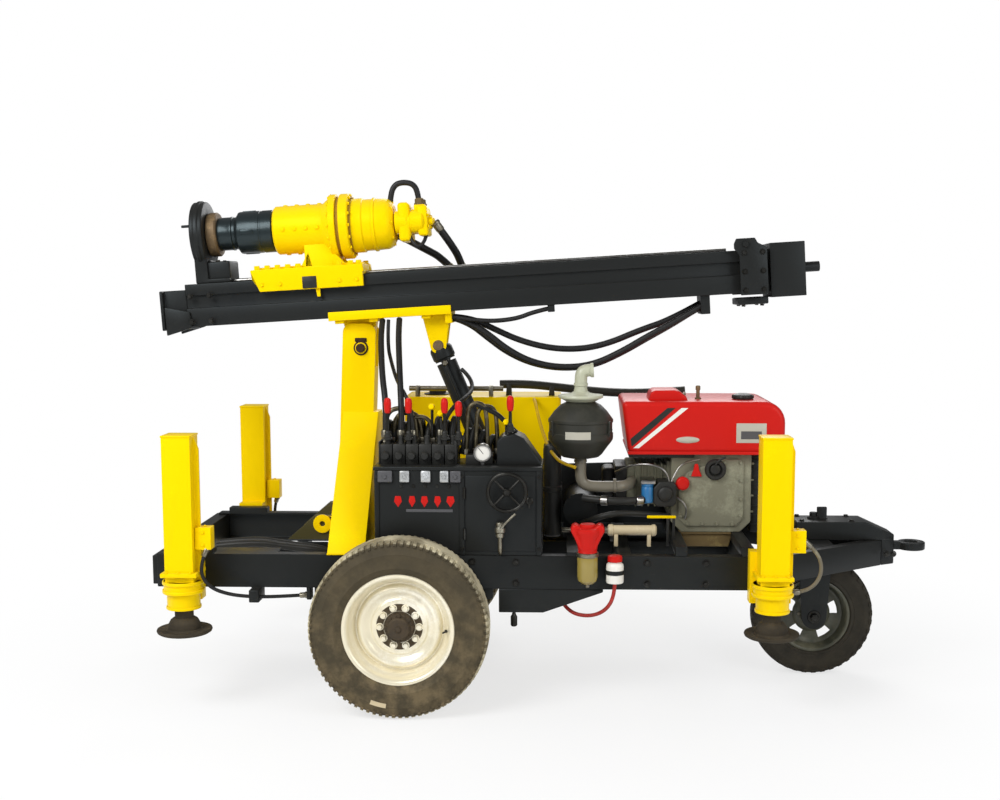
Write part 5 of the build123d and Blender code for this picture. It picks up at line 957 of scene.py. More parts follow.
def add_engine():
    case = mm((586, 672), (540, 718), (540, 1010), (550, 1018), (876, 1018), (886, 1010), (886, 718),
        (840, 672))
    pieces = [drawn("case", case, -0.19, 0.19, edge=0.008, steps=3)]
    cover = mm((604, 700), (572, 732), (572, 880), (610, 936), (686, 966), (760, 992), (838, 992), (852, 978),
        (852, 738), (820, 700))
    pieces.append(drawn("side_cover", cover, -0.2025, -0.188, edge=0.005, steps=3))
    for z in (0.76, 0.83, 0.9, 0.97):
        pieces.append(drawn("end_rib", [(0.884, z - 0.005), (0.9, z - 0.004), (0.9, z + 0.004),
            (0.884, z + 0.005)], -0.17, 0.17, edge=0.002))
    pieces.append(block("cylinder", (0.352, -0.125, 0.782), (0.544, 0.125, 0.958), edge=0.01, steps=3))
    for x in (0.392, 0.42, 0.448, 0.476, 0.504):
        pieces.append(block("fin", (x - 0.004, -0.133, 0.774), (x + 0.004, 0.133, 0.966), edge=0.003))
    pieces.append(block("cylinder_flange", (0.526, -0.15, 0.762), (0.544, 0.15, 0.978), edge=0.006))
    dress(join("crankcase", pieces), GREEN_CAST, node="engine_block")

    points = mm((612, 712), (584, 745), (584, 815), (584, 876), (622, 926), (700, 958), (770, 980), (838, 978),
        (840, 900), (840, 820), (840, 748), (806, 712), (740, 712), (676, 712))
    heads = [((x, -0.2025, z), (0, -1, 0)) for x, z in points]
    heads += [((0.352, y, z), (-1, 0, 0)) for y in (-0.095, 0.095) for z in (0.81, 0.93)]
    dress(bolts("crankcase_bolts", heads, 0.0075, 0.007), GREEN_CAST)

    head = block("head", (0.3, -0.12, 0.79), (0.356, 0.12, 0.95), edge=0.008, steps=3)
    rocker = block("rocker", (0.246, -0.078, 0.808), (0.304, 0.078, 0.936), edge=0.02, steps=4)
    governor = drawn("governor", mm((462, 806), (462, 872), (486, 900), (546, 900), (560, 884), (560, 806),
        (546, 792), (476, 792)), -0.245, -0.12, edge=0.006, steps=3)
    drum = turned("governor_drum", mm((0, 18), (20, 18), (30, 12), (34, 0)), at((0.512, -0.245, 0.848),
        (0, -1, 0)), 32)
    shelf = block("engine_top", (0.356, -0.2, 0.998), (0.64, 0.2, 1.018), edge=0.006)
    dress(join("cylinder_head", [head, rocker, governor, drum, shelf]), PLASTIC)

    ring = mm((30, 0), (40, 2), (46, 10), (46, 18), (40, 26), (30, 26), (26, 12))
    filler_place = at((0.728, -0.2, 0.95), (0, -1, 0))
    filler = turned("filler", ring, filler_place, 40, closed=True)
    plug = turned("plug", mm((0, 20), (18, 20), (28, 14), (28, 0)), filler_place, 8, edge=0.002)
    lever = pipe("stop_lever", mm((728, -222, 972), (742, -232, 998), (770, -230, 1006)), 0.005)
    dress(join("oil_filler", [filler, plug, lever]), PLASTIC)

    knob = turned("red_knob", mm((0, 30), (22, 29), (30, 22), (31, 8), (26, 0)), at((0.588, -0.2, 0.889),
        (0, -1, 0)), 12, edge=0.003)
    tag = drawn("red_tag", mm((624, 918), (672, 918), (660, 946), (654, 974), (640, 974), (634, 946)), -0.214,
        -0.2, edge=0.004, steps=3)
    dress(join("red_caps", [knob, tag]), RED)

    blue = turned("oil_filter", mm((0, 0), (20, 0), (25, 4), (26, 12), (26, 66), (24, 70), (26, 74), (26, 84),
        (0, 84)), at((0.437, -0.225, 0.806)), 32)
    dress(blue, BLUE)
    bracket = drawn("filter_bracket", rectangle(0.408, 0.47, 0.89, 0.906), -0.25, -0.12, edge=0.003)
    pipes = [bracket]
    for points in (mm((530, -230, 898), (520, -235, 950), (440, -225, 978), (350, -190, 960), (300, -140, 925)),
            mm((560, -215, 830), (590, -225, 815), (610, -225, 770), (600, -205, 735)), mm((660, -205, 992),
            (600, -220, 985), (560, -225, 950), (540, -232, 900))):
        pipes.append(pipe("injector_pipe", points, 0.0045))
    dress(join("injector_pipes", pipes), STEEL)

    pan = drawn("pan", mm((600, 604), (584, 662), (590, 674), (806, 674), (812, 662), (796, 604)), -0.172,
        0.172, edge=0.016, steps=4)
    lip = block("pan_lip", (0.578, -0.184, 0.662), (0.818, 0.184, 0.674), edge=0.003)
    dress(join("oil_pan", [pan, lip]), BROWN, node="oil_pan")

    sleeve = turned("suction_tube", mm((0, 0), (16, 0), (24, 4), (25, 10), (25, 22), (21.5, 26), (21.5, 186),
        (25, 190), (25, 202), (18, 208), (0, 208)), at((0.264, -0.3, 0.7), (1, 0, 0)), 32)
    legs = [drawn("saddle", rectangle(x - 0.008, x + 0.008, RAIL_TOP, 0.684), -0.318, -0.282, edge=0.002)
        for x in (0.3, 0.44)]
    dress(join("suction_tube", [sleeve] + legs), PALE_TUBE)
    dress(block("tie_bar", (0.431, -0.306, 0.752), (0.554, -0.29, 0.763), edge=0.003), YELLOW)
    stub = turned("suction_stub", mm((0, 0), (8, 0), (10, 4), (10, 180), (14, 184), (14, 196), (0, 196)),
        at((0.07, -0.3, 0.7), (1, 0, 0)), 24)
    dress(stub, ZINC)
    guard = [drawn("belt_guard", mm((-20, 640), (560, 640), (560, 950), (420, 950), (360, 926), (0, 916),
        (-20, 896)), 0.188, 0.2, edge=0.004), drawn("kick_plate", rectangle(-0.06, 0.86, RAIL_TOP, 0.69), 0.3,
        0.306, edge=0.002), block("end_cooler", (0.886, -0.165, 0.668), (0.922, 0.165, 1.018), edge=0.008,
        steps=3)]
    guard += [block("cooler_fin", (0.884, -0.17, z), (0.928, 0.17, z + 0.008), edge=0.002)
        for z in (0.7, 0.74, 0.78, 0.82, 0.86, 0.9, 0.94, 0.98)]
    dress(join("engine_guards", guard), BLACK)
    canister = mm((0, 632), (34, 632), (40, 640), (40, 830), (44, 836), (44, 852), (40, 858), (40, 1020),
        (34, 1036), (16, 1044), (16, 1060), (0, 1060))
    cans = [turned("canister", canister, shift(0.026, y), 40) for y in (-0.08, 0.04)]
    dress(join("line_filters", cans), PLASTIC)
    bars = [block("tie_leg", (x - 0.006, -0.302, RAIL_TOP), (x + 0.006, -0.294, 0.754), edge=0.002)
        for x in (0.52, 0.545)]
    bars.append(pipe("dark_tube", mm((160, -235, 826), (250, -270, 821), (330, -275, 820), (402, -250, 821),
        (470, -200, 826)), 0.017))
    bars.append(pipe("low_tube", mm((150, -160, 700), (200, -260, 740), (300, -275, 770), (420, -240, 760),
        (540, -180, 740)), 0.013))
    dress(join("dark_tubes", bars), PLASTIC)
    sleeves = [turned("steel_sleeve", mm((0, 0), (19, 0), (21, 3), (21, 28), (19, 31), (0, 31)), at((x, y, z),
        axis), 24) for x, y, z, axis in ((0.236, -0.266, 0.822, (1, -0.3, 0)), (0.385, -0.262, 0.82,
        (1, 0.35, 0)))]
    dress(join("steel_sleeves", sleeves), STEEL)


def add_air_cleaner():
    place = shift(CLEANER_X, CLEANER_Y)
    bulb = turned("bulb", mm((50, 1004), (78, 1010), (92, 1022), (112, 1050), (132, 1076), (137.5, 1086),
        (138.5, 1094), (138.5, 1112), (135, 1116), (135, 1156), (138.5, 1160), (138.5, 1170), (134, 1176),
        (112, 1206), (86, 1232), (64, 1243), (60, 1246), (40, 1248)), place, 64)
    clamps = []
    for angle in (90, 210, 330):
        turn = place @ Matrix.Rotation(math.radians(angle), 4, "Z")
        clamps.append(block("clip", (0.134, -0.008, 1.104), (0.145, 0.008, 1.168), turn, edge=0.002))
        clamps.append(pipe("wire", [turn @ Vector(p) for p in mm((137, -12, 1110), (150, -10, 1135),
            (150, 10, 1135), (137, 12, 1110))], 0.002))
    dress(join("air_cleaner_bulb", [bulb] + clamps), CLEANER, node="air_cleaner")
    label = turned("label_arc", mm((138.2, 1096), (139.4, 1096), (139.4, 1128), (138.2, 1128)), place, 64,
        closed=True)
    cut_away(label, lambda centre, normal: centre.y > -0.37 or centre.x > 0.194)
    dress(label, PALE_TRIM)

    base = turned("stack_base", mm((94, 1262), (96, 1268), (94, 1274), (70, 1277), (40, 1282), (30, 1290),
        (26.5, 1304), (26.5, 1320)), place, 48)
    skirt = turned("skirt", mm((94, 1262), (80, 1256), (62, 1246)), place, 48)
    neck = pipe("neck", mm((148, -250, 1300), (148, -250, 1335), (150, -250, 1366), (166, -250, 1378),
        (196, -250, 1379)), 0.0265)
    mouth = turned("mouth", mm((0, -4), (22, -4), (23.5, 4), (30, 4), (31, 0), (30, -8), (26.5, -12)),
        at((0.198, -0.25, 1.379), (1, 0, 0.06)), 32)
    band = turned("band", ((0.0267, 0), (0.03, 0.001), (0.03, 0.012), (0.0267, 0.013)),
        at((CLEANER_X, CLEANER_Y, 1.312)), 32)
    dress(join("stack", [base, skirt, neck, mouth, band]), PALE_STACK)

    elbow = pipe("elbow", mm((148, -250, 1010), (148, -250, 960), (150, -250, 905), (176, -250, 882),
        (230, -250, 879), (300, -250, 880), (330, -245, 881), (365, -200, 884), (372, -130, 886)), 0.024,
        resolution=10)
    bands = []
    for point, axis in (((CLEANER_X, CLEANER_Y, 0.985), (0, 0, 1)), ((0.29, CLEANER_Y, 0.88), (1, 0, 0))):
        bands.append(turned("band", mm((24.2, 0), (27.5, 1), (27.5, 11), (24.2, 12)), at(point, axis), 32))
        bands.append(block("screw", (-0.006, 0.024, -0.002), (0.006, 0.034, 0.012), at(point, axis),
            edge=0.002))
    dress(join("elbow", [elbow] + bands), CLEANER_PIPE)
    cable = route_curve("yellow_cable", YELLOW_CABLE, 0.0075)
    cable.data.materials.append(YELLOW_HOSE)
    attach(cable, "chassis")
    run_length(path_of(YELLOW_CABLE))


def add_pump_side():
    cap_place = at((-0.52, 0.35, 1.225))
    filter_place = shift(FILTER_X, FILTER_Y)
    bottle_place = shift(0.286, -0.556)
    softened("oil_tank", YELLOW, 0.005, 3)
    softened("flywheel", BLACK, 0.006, 3)
    softened("hydraulic_pump", BLACK, 0.005, 3)
    cap = turned("tank_cap", mm((52, 0), (52, 6), (40, 8), (40, 26), (36, 34), (18, 38), (0, 38)), cap_place,
        40)
    rings = [turned("bolt_ring", mm((58, 0), (64, 1), (64, 5), (58, 6)), cap_place, 40)]
    dress(join("tank_cap", [cap] + rings), PLASTIC)
    strip = pipe("return_pipe", mm((-640, 230, 1262), (-500, 225, 1262), (-310, 222, 1262), (-204, 220, 1262)),
        0.012)
    ends = [block("clip", (x - 0.01, 0.205, 1.224), (x + 0.01, 0.238, 1.276), edge=0.003)
        for x in (-0.6, -0.26)]
    dress(join("return_pipe", [strip] + ends), ZINC)
    dark = pipe("far_pipe", mm((-223, 300, 1276), (-120, 300, 1280), (60, 300, 1262), (260, 300, 1240),
        (460, 295, 1236), (640, 290, 1250)), 0.02)
    saddles = [drawn("saddle", [(x - 0.014, 1.222), (x + 0.014, 1.222), (x + 0.01, top), (x - 0.01, top)],
        0.276, 0.324, edge=0.003) for x, top in ((-0.18, 1.282), (0.02, 1.268))]
    dress(join("far_pipe", [dark] + saddles), CLEANER)

    glass = mm((0, 0), (9, 0), (9, 240), (0, 240))
    gauge = turned("level_glass", glass, at((-0.62, 0.184, 0.86)), 20)
    frame_plate = block("level_frame", (-0.634, 0.178, 0.84), (-0.606, 0.19, 1.118), edge=0.003)
    dress(join("level_gauge", [gauge, frame_plate]), ZINC)

    cup = turned("filter_top", mm((0, 776), (28, 776), (34, 770), (34, 762), (56, 760), (58, 752), (56, 740),
        (50, 726), (42, 690), (38, 664), (40, 660), (40, 654), (0, 654)), filter_place, 40)
    ears = drawn("filter_ears", mm((120, 722), (104, 752), (110, 772), (128, 778), (150, 762), (198, 762),
        (220, 778), (238, 772), (244, 752), (228, 722), (206, 672), (142, 672)), -0.604, -0.536, edge=0.008,
        steps=3)
    dress(join("filter_top", [cup, ears]), RED, node="fuel_filter")
    bowl = turned("bowl", mm((34, 654), (40, 648), (42, 636), (42, 560), (38, 542), (26, 530), (10, 526),
        (0, 526)), filter_place, 40)
    dress(bowl, AMBER)
    collar = turned("bowl_collar", mm((40, 660), (45, 658), (46, 650), (44, 642), (40, 640)), filter_place, 40)
    arm = block("filter_arm", (0.15, -0.536, 0.69), (0.198, -0.505, 0.74), edge=0.004)
    foot = block("filter_foot", (0.15, -0.52, 0.62), (0.198, -0.505, 0.742), edge=0.003)
    drain = turned("drain", mm((0, 0), (8, 0), (9, 3), (9, 10), (6, 14)), at((FILTER_X, FILTER_Y, 0.514)), 12)
    dress(join("filter_bracket", [collar, arm, foot, drain]), ZINC)

    bottle = turned("bottle", mm((0, 528), (20, 528), (34, 531), (36, 536), (36, 600), (34, 608), (28, 614),
        (24, 616), (24, 622), (0, 622)), bottle_place, 40)
    dress(bottle, WHITE_TRIM, node="drain_bottle")
    lid = turned("bottle_cap", mm((0, 644), (24, 644), (29, 641), (30, 636), (30, 620), (26, 618)),
        bottle_place, 24)
    dress(lid, RED)
    strap = turned("bottle_strap", mm((36.2, 566), (39, 567), (39, 583), (36.2, 584)), bottle_place, 40)
    dress(strap, BLACK)


# Mast and drill head, placed in the mast's own coordinates
SHEAVE_S = 1.69


def add_mast():
    for node in ("mast_beam", "mast_foot", "mast_head", "rod_guide"):
        softened(node, BLACK, 0.005, 3)
    softened("mast_cradle", YELLOW, 0.003)
    softened("tilt_barrel", BLACK, 0.003)
    softened("tilt_rod", STEEL, 0.002)
    sled = softened("feed_carriage", YELLOW, 0.005, 3)
    edit(sled, "VERT")
    mesh = bmesh.from_edit_mesh(sled.data)
    for corner in mesh.verts:
        spot = MAST.inverted() @ corner.co
        if spot.x < -0.43 and spot.z < 0.295:
            corner.select_set(True)
    bmesh.update_edit_mesh(sled.data)
    bpy.ops.transform.translate(value=MAST.to_3x3() @ Vector((0.034, 0, 0)))
    done()
    flap = mm((-1670, 1640), (-1661, 1516), (-1550, 1551), (-1558, 1620))
    flaps = [drawn("foot_flap", flap, sign * 0.1, sign * 0.117, edge=0.004) for _, sign in SIDES]
    dress(join("foot_flaps", flaps), BLACK, body="mast")

    sheaves = []
    groove = mm((20, -18), (62, -18), (66, -12), (52, -6), (52, 6), (66, 12), (62, 18), (20, 18))
    for y in (-0.055, 0.055):
        sheaves.append(turned("sheave", groove, MAST @ at((SHEAVE_S, y, 0.238), (0, 1, 0)), 48, closed=True))
    dress(join("top_sheaves", sheaves), PLASTIC, body="mast")
    plates = []
    outer = mm((1662, 130), (1662, 300), (1640, 330), (1640, 350), (1650, 372), (1730, 372), (1742, 350),
        (1780, 330), (1780, 130))
    low = mm((1662, 130), (1662, 248), (1780, 248), (1780, 130))
    for (_, sign), shape in zip(SIDES, (outer, low)):
        plates.append(drawn("head_plate", shape, sign * 0.144, sign * 0.152, MAST, edge=0.003))
        plates.append(drawn("spacer", mm((1666, 135), (1666, 245), (1776, 245), (1776, 135)), sign * 0.124,
            sign * 0.145, MAST, edge=0.002))
    plates.append(turned("stud", mm((0, 0), (14, 0), (14, 8), (11, 11), (0, 11)),
        MAST @ at((SHEAVE_S, -0.151, 0.346), (0, -1, 0)), 24))
    plates.append(turned("stop_knob", mm((0, 30), (18, 30), (26, 22), (26, 8), (14, 0)),
        MAST @ at((1.794, -0.06, 0.318), (1, 0, 0)), 24))
    plates.append(block("low_bracket", (1.655, -0.105, 0.088), (1.785, 0.105, 0.118), MAST, edge=0.005))
    dress(join("head_plates", plates), BLACK, body="mast")
    heads = [(on_mast(s, sign * 0.152, h), (0, sign, 0)) for _, sign in SIDES for s in (1.682, 1.76)
        for h in (0.15, 0.23, 0.31)[:3 if sign < 0 else 2]]
    heads += [(on_mast(-0.635 - 0.085 * step, sign * 0.122, h), (0, sign, 0)) for _, sign in SIDES
        for step in (0, 1) for h in (0.16, 0.27)]
    heads += [(on_mast(s, y, 0.118 - 0.03), (-0.061, 0, -1)) for s in (1.68, 1.76) for y in (-0.08, 0.08)]
    dress(bolts("mast_bolts", heads, 0.009, 0.008), STEEL_DARK, body="mast")

    clamps = [block("clamp", (s - 0.02, -0.1, 0.112), (s + 0.02, 0.1, 0.128), MAST, edge=0.004)
        for s in (-0.08, 0.07, 0.3)]
    dress(join("cradle_clamps", clamps), YELLOW, body="mast")

    chain = []
    for _, sign in SIDES:
        run = [on_mast(s, sign * 0.03, 0.329) for s in (-0.6, 0.4, 1.62)]
        chain.append(pipe("feed_chain", run, 0.008, order=2))
    dress(join("feed_chains", chain), STEEL, body="mast")

    bush = turned("bush", mm((63, 0), (86, 0), (94, 4), (96, 12), (96, 40), (90, 46), (63, 46)),
        MAST @ at((-0.64, 0, DRILL_H), (1, 0, 0)), 56, closed=True)
    dress(bush, BRASS, body="mast")
    pin = [turned("guide_pin", mm((0, 50), (5, 50), (6, 46), (6, 0)), MAST @ at((-0.695, -0.07, 0.575),
        (-1, 0, 0)), 16)]
    pin += [turned("guide_rib", mm((118, 0), (146, 0), (150, 6), (150, 18), (146, 24), (118, 24)),
        MAST @ at((-0.68, 0, DRILL_H), (1, 0, 0)), 64, closed=True)]
    pin.append(block("guide_foot", (-0.668, -0.08, 0.322), (-0.545, 0.08, 0.416), MAST, edge=0.008, steps=3))
    pin.append(drawn("guide_gusset", mm((-645, 385), (-645, 430), (-620, 392)), -0.07, 0.07, MAST, edge=0.003))
    dress(join("guide_details", pin), BLACK, body="mast")
    heads = [(on_mast(-0.6, y, 0.416), (0, 0, 1)) for y in (-0.055, 0.055)]
    heads += [(MAST @ place, (-1, 0, 0)) for place, _ in ring_places((-0.696, 0, DRILL_H), (-1, 0, 0), 0.104,
        8, 0.39)]
    dress(bolts("guide_bolts", heads, 0.008, 0.007), STEEL_DARK, body="mast")
    add_tilt_details()
    add_head()


def add_tilt_details():
    """Gland, ports and pins of the tilt cylinder, which lies between its base pin and its rod eye."""
    base = Vector((-0.14, 0.0, 0.67))
    eye = on_mast(0.34, 0, -0.01)
    axis = (eye - base).normalized()
    gland = turned("gland", mm((24, 866), (40, 866), (47, 860), (51, 850), (51, 812), (45.5, 806), (45.5, 800)),
        at(base, axis), 40)
    foot = turned("foot_cap", mm((45.5, 140), (49, 136), (50, 128), (50, 70), (46, 60), (30, 56)),
        at(base, axis), 40)
    side = Vector((0, -1, 0))
    top = base + axis * 0.79
    low = base + axis * 0.15
    bosses = [turned("boss", mm((0, 18), (12, 18), (14, 15), (17, 0)), at(p + side * 0.043, side), 20)
        for p in (top, low)]
    pipes = [pipe("port_pipe", [low + side * 0.058, low + side * 0.074 + axis * 0.01, low + side * 0.074
        + axis * 0.09, low + side * 0.066 + axis * 0.45, top + side * 0.074 - axis * 0.04, top + side * 0.06],
        0.007)]
    dress(join("tilt_ports", [gland, foot] + bosses + pipes), BLACK, body="tilt_barrel")
    nuts = [turned("port_nut", mm((0, 16), (10, 16), (12, 13), (12, 0)), at(p + side * 0.06, side), 6)
        for p in (top, low)]
    dress(join("port_nuts", nuts), ZINC, body="tilt_barrel")
    collar = turned("eye_collar", mm((0, -74), (27, -74), (30, -68), (30, -44), (24, -34), (0, -34)),
        at(eye, axis), 6, edge=0.002)
    dress(collar, ZINC, body="tilt_rod")
    pins = []
    for sign in (-1, 1):
        pins.append(turned("clevis_pin", mm((0, 14), (20, 14), (24, 10), (24, 0)), at(eye
            + Vector((0, sign * 0.037, 0)), (0, sign, 0)), 32))
    dress(join("clevis_pin", pins), BRASS, body="mast")


MOTOR_Y = (-0.046, 0.046)


def add_head():
    axis = MAST @ at((-0.346, 0, DRILL_H), (1, 0, 0))
    case = turned("gear_case", mm((70, 3), (98, 3), (105, 10), (105, 218), (108, 224), (116, 232), (128, 250),
        (142, 254), (142, 280), (140, 282), (127, 283), (127, 297), (140, 298), (142, 300), (142, 334),
        (139, 338), (122, 340), (118, 350), (118, 392), (112, 398), (112, 436), (117, 438), (117, 448),
        (112, 450), (110, 496), (106, 506), (98, 518), (80, 530), (0, 532)), axis, 72)
    plugs = []
    for z in (0.05, 0.1, 0.15, 0.2):
        for turn in (180, 90, -90):
            across, up = math.cos(math.radians(turn)), math.sin(math.radians(turn))
            place = axis @ at((0.1045 * across, 0.1045 * up, z), (across, up, 0))
            plugs.append(turned("plug", mm((0, 5), (7, 5), (10, 3), (10, 0)), place, 16))
    dress(join("gear_case_turned", [case] + plugs), YELLOW, node="gear_case")
    heads = []
    for z, radius, count, out in ((0.254, 0.134, 16, -1), (0.338, 0.132, 16, 1), (0.5195, 0.09, 8, 1)):
        spots = ring_places((0, 0, z), (0, 0, 1), radius, count)
        heads += [(axis @ spot, axis.to_3x3() @ Vector((0, 0, out))) for spot, _ in spots]
    dress(bolts("case_bolts", heads, 0.0075, 0.008), YELLOW, body="carriage")
    gaskets = [turned("gasket", ((r - 0.003, z0), (r, z0), (r, z1), (r - 0.003, z1)), axis, 72, closed=True)
        for r, z0, z1 in ((0.13, 0.2835, 0.2965), (0.1245, 0.3405, 0.349))]
    dress(join("case_gaskets", gaskets), OCHRE, body="carriage")

    motors = []
    for y in MOTOR_Y:
        motors.append(turned("motor", mm((0, 0), (46, 0), (50, 4), (50, 50), (46, 56), (46, 66), (51, 70),
            (51, 118), (47, 124), (40, 128), (30, 130), (0, 130)), MAST @ at((0.19, y, DRILL_H), (1, 0, 0)),
            40))
        motors.append(block("port", (0.276, y - 0.024, DRILL_H + 0.036), (0.326, y + 0.024, DRILL_H + 0.072),
            MAST, edge=0.006))
    motors.append(block("yoke", (0.206, -0.092, DRILL_H - 0.084), (0.258, 0.092, DRILL_H + 0.084), MAST,
        edge=0.016, steps=4))
    motors.append(block("bridge", (0.258, -0.066, DRILL_H - 0.05), (0.296, 0.066, DRILL_H + 0.052), MAST,
        edge=0.01, steps=3))
    motors.append(block("end_block", (0.29, -0.082, DRILL_H - 0.064), (0.334, 0.082, DRILL_H + 0.066), MAST,
        edge=0.01, steps=3))
    for y, h in ((0.044, 0.534), (-0.044, 0.534)):
        motors.append(rod("port_stub", on_mast(0.33, y, h), on_mast(0.354, y, h), 0.018, edge=0.003))
    dress(join("motors", motors), YELLOW, node="head_motors")
    fittings = [turned("fitting", mm((0, 30), (14, 30), (20, 26), (20, 10), (24, 8), (24, 0)),
        MAST @ at((0.3, y, DRILL_H + 0.07), (0, 0, 1)), 6, edge=0.0015) for y in MOTOR_Y]
    dress(join("motor_fittings", fittings), BROWN, body="carriage")
    heads = [(on_mast(0.334, y + dy, DRILL_H + dz), MAST.to_3x3() @ Vector((1, 0, 0))) for y in MOTOR_Y
        for dy in (-0.028, 0.028) for dz in (-0.024, 0.024)]
    dress(bolts("motor_bolts", heads, 0.006, 0.006), YELLOW, body="carriage")
    loop = pipe("loop", mm((-690, 0, 2070), (-688, 0, 2132), (-668, 0, 2176), (-628, 0, 2186), (-586, 0, 2178),
        (-566, 0, 2140), (-560, 0, 2080)), 0.0125, resolution=10)
    low = pipe("low_loop", mm((-600, -60, 1960), (-585, -85, 1925), (-556, -90, 1900), (-530, -80, 1925),
        (-524, -50, 1960)), 0.008, resolution=10)
    ends = [turned("loop_nut", mm((0, 0), (19, 0), (19, 18), (15, 22), (0, 22)), at(p), 6, edge=0.0015)
        for p in ((-0.69, 0.0, 2.066), (-0.56, 0.0, 2.072))]
    dress(join("head_pipes", [loop, low] + ends), HOSE, body="carriage")
    sleeve = mm((0, 0), (20, 0), (23, 3), (23, 12), (19.5, 14), (19.5, 44), (17, 48), (0, 48))
    hose_ends = (((-0.499, 0.043, 2.016), (0.03, 0.01, -0.04)), ((-0.668, 0.086, 1.963), (0.054, 0.036, -0.03)),
        ((-0.379, 0.172, 1.795), (-0.016, -0.041, 0.057)), ((-0.416, 0.166, 1.793), (-0.056, -0.003, 0.058)))
    crimps = [turned("crimp", sleeve, at(end, way), 28) for end, way in hose_ends]
    dress(join("head_hose_crimps", crimps), ZINC, body="carriage")

    spindle = turned("spindle_turned", mm((45, -258), (68, -258), (72, -254), (72, -196), (74, -192),
        (74, -186), (70, -182), (70, -172), (78, -164), (90, -156), (92, -150), (92, -62), (90, -60), (90, -54),
        (92, -52), (92, -6), (86, 0), (30, 0), (30, -200), (45, -200)), axis, 64, closed=True)
    flats = []
    for angle in (0, 90, 180, 270):
        turn = axis @ Matrix.Rotation(math.radians(angle), 4, "Z")
        flats.append(block("key", (0.086, -0.01, -0.14), (0.0945, 0.01, -0.08), turn, edge=0.003))
    dress(join("spindle_body", [spindle] + flats), BLUE_BLACK, node="spindle")

    sled = []
    for _, sign in SIDES:
        rib = mm((-440, 366), (-424, 376), (-230, 376), (-205, 420), (-196, 440), (-180, 366))
        sled.append(drawn("flare", rib, sign * 0.06, sign * 0.078, MAST, edge=0.003))
        rib = mm((-100, 366), (-96, 440), (-80, 420), (-40, 376), (38, 376), (50, 366))
        sled.append(drawn("rear_flare", rib, sign * 0.06, sign * 0.078, MAST, edge=0.003))
        sled.append(drawn("tip", mm((36, 330), (47, 334), (44, 368), (36, 372)), sign * 0.09, sign * 0.128,
            MAST, edge=0.003))
        sled.append(drawn("tab", mm((-170, 276), (-150, 276), (-150, 236), (-164, 236)), sign * 0.106,
            sign * 0.116, MAST, edge=0.002))
    dress(join("sled_ribs", sled), YELLOW, body="carriage")
    heads = [(on_mast(s, sign * 0.106, 0.366), MAST.to_3x3() @ Vector((0, 0, 1))) for _, sign in SIDES
        for s in (-0.42, -0.375, -0.33, -0.285, -0.24, -0.06, -0.01, 0.025)]
    dress(bolts("sled_bolts", heads, 0.013, 0.018), YELLOW, body="carriage")
    heads = [(on_mast(s, sign * 0.1305, h), (0, sign, 0)) for _, sign in SIDES for s, h in mm((-400, 300),
        (-320, 300), (-60, 300), (15, 300))]
    dress(bolts("skirt_bolts", heads, 0.008, 0.006), YELLOW, body="carriage")
    pads = [block("slide_pad", (-0.222, sign * 0.1315 - 0.003, 0.274), (-0.16, sign * 0.1315 + 0.003, 0.326),
        MAST, edge=0.002) for _, sign in SIDES]
    dress(join("slide_pads", pads), PLASTIC, body="carriage")


# Console and valve bank
LEVER_Y = -0.435
LEVERS = mm((-653, 1275), (-566, 1275), (-417, 1275), (-359, 1262), (-145, 1285))


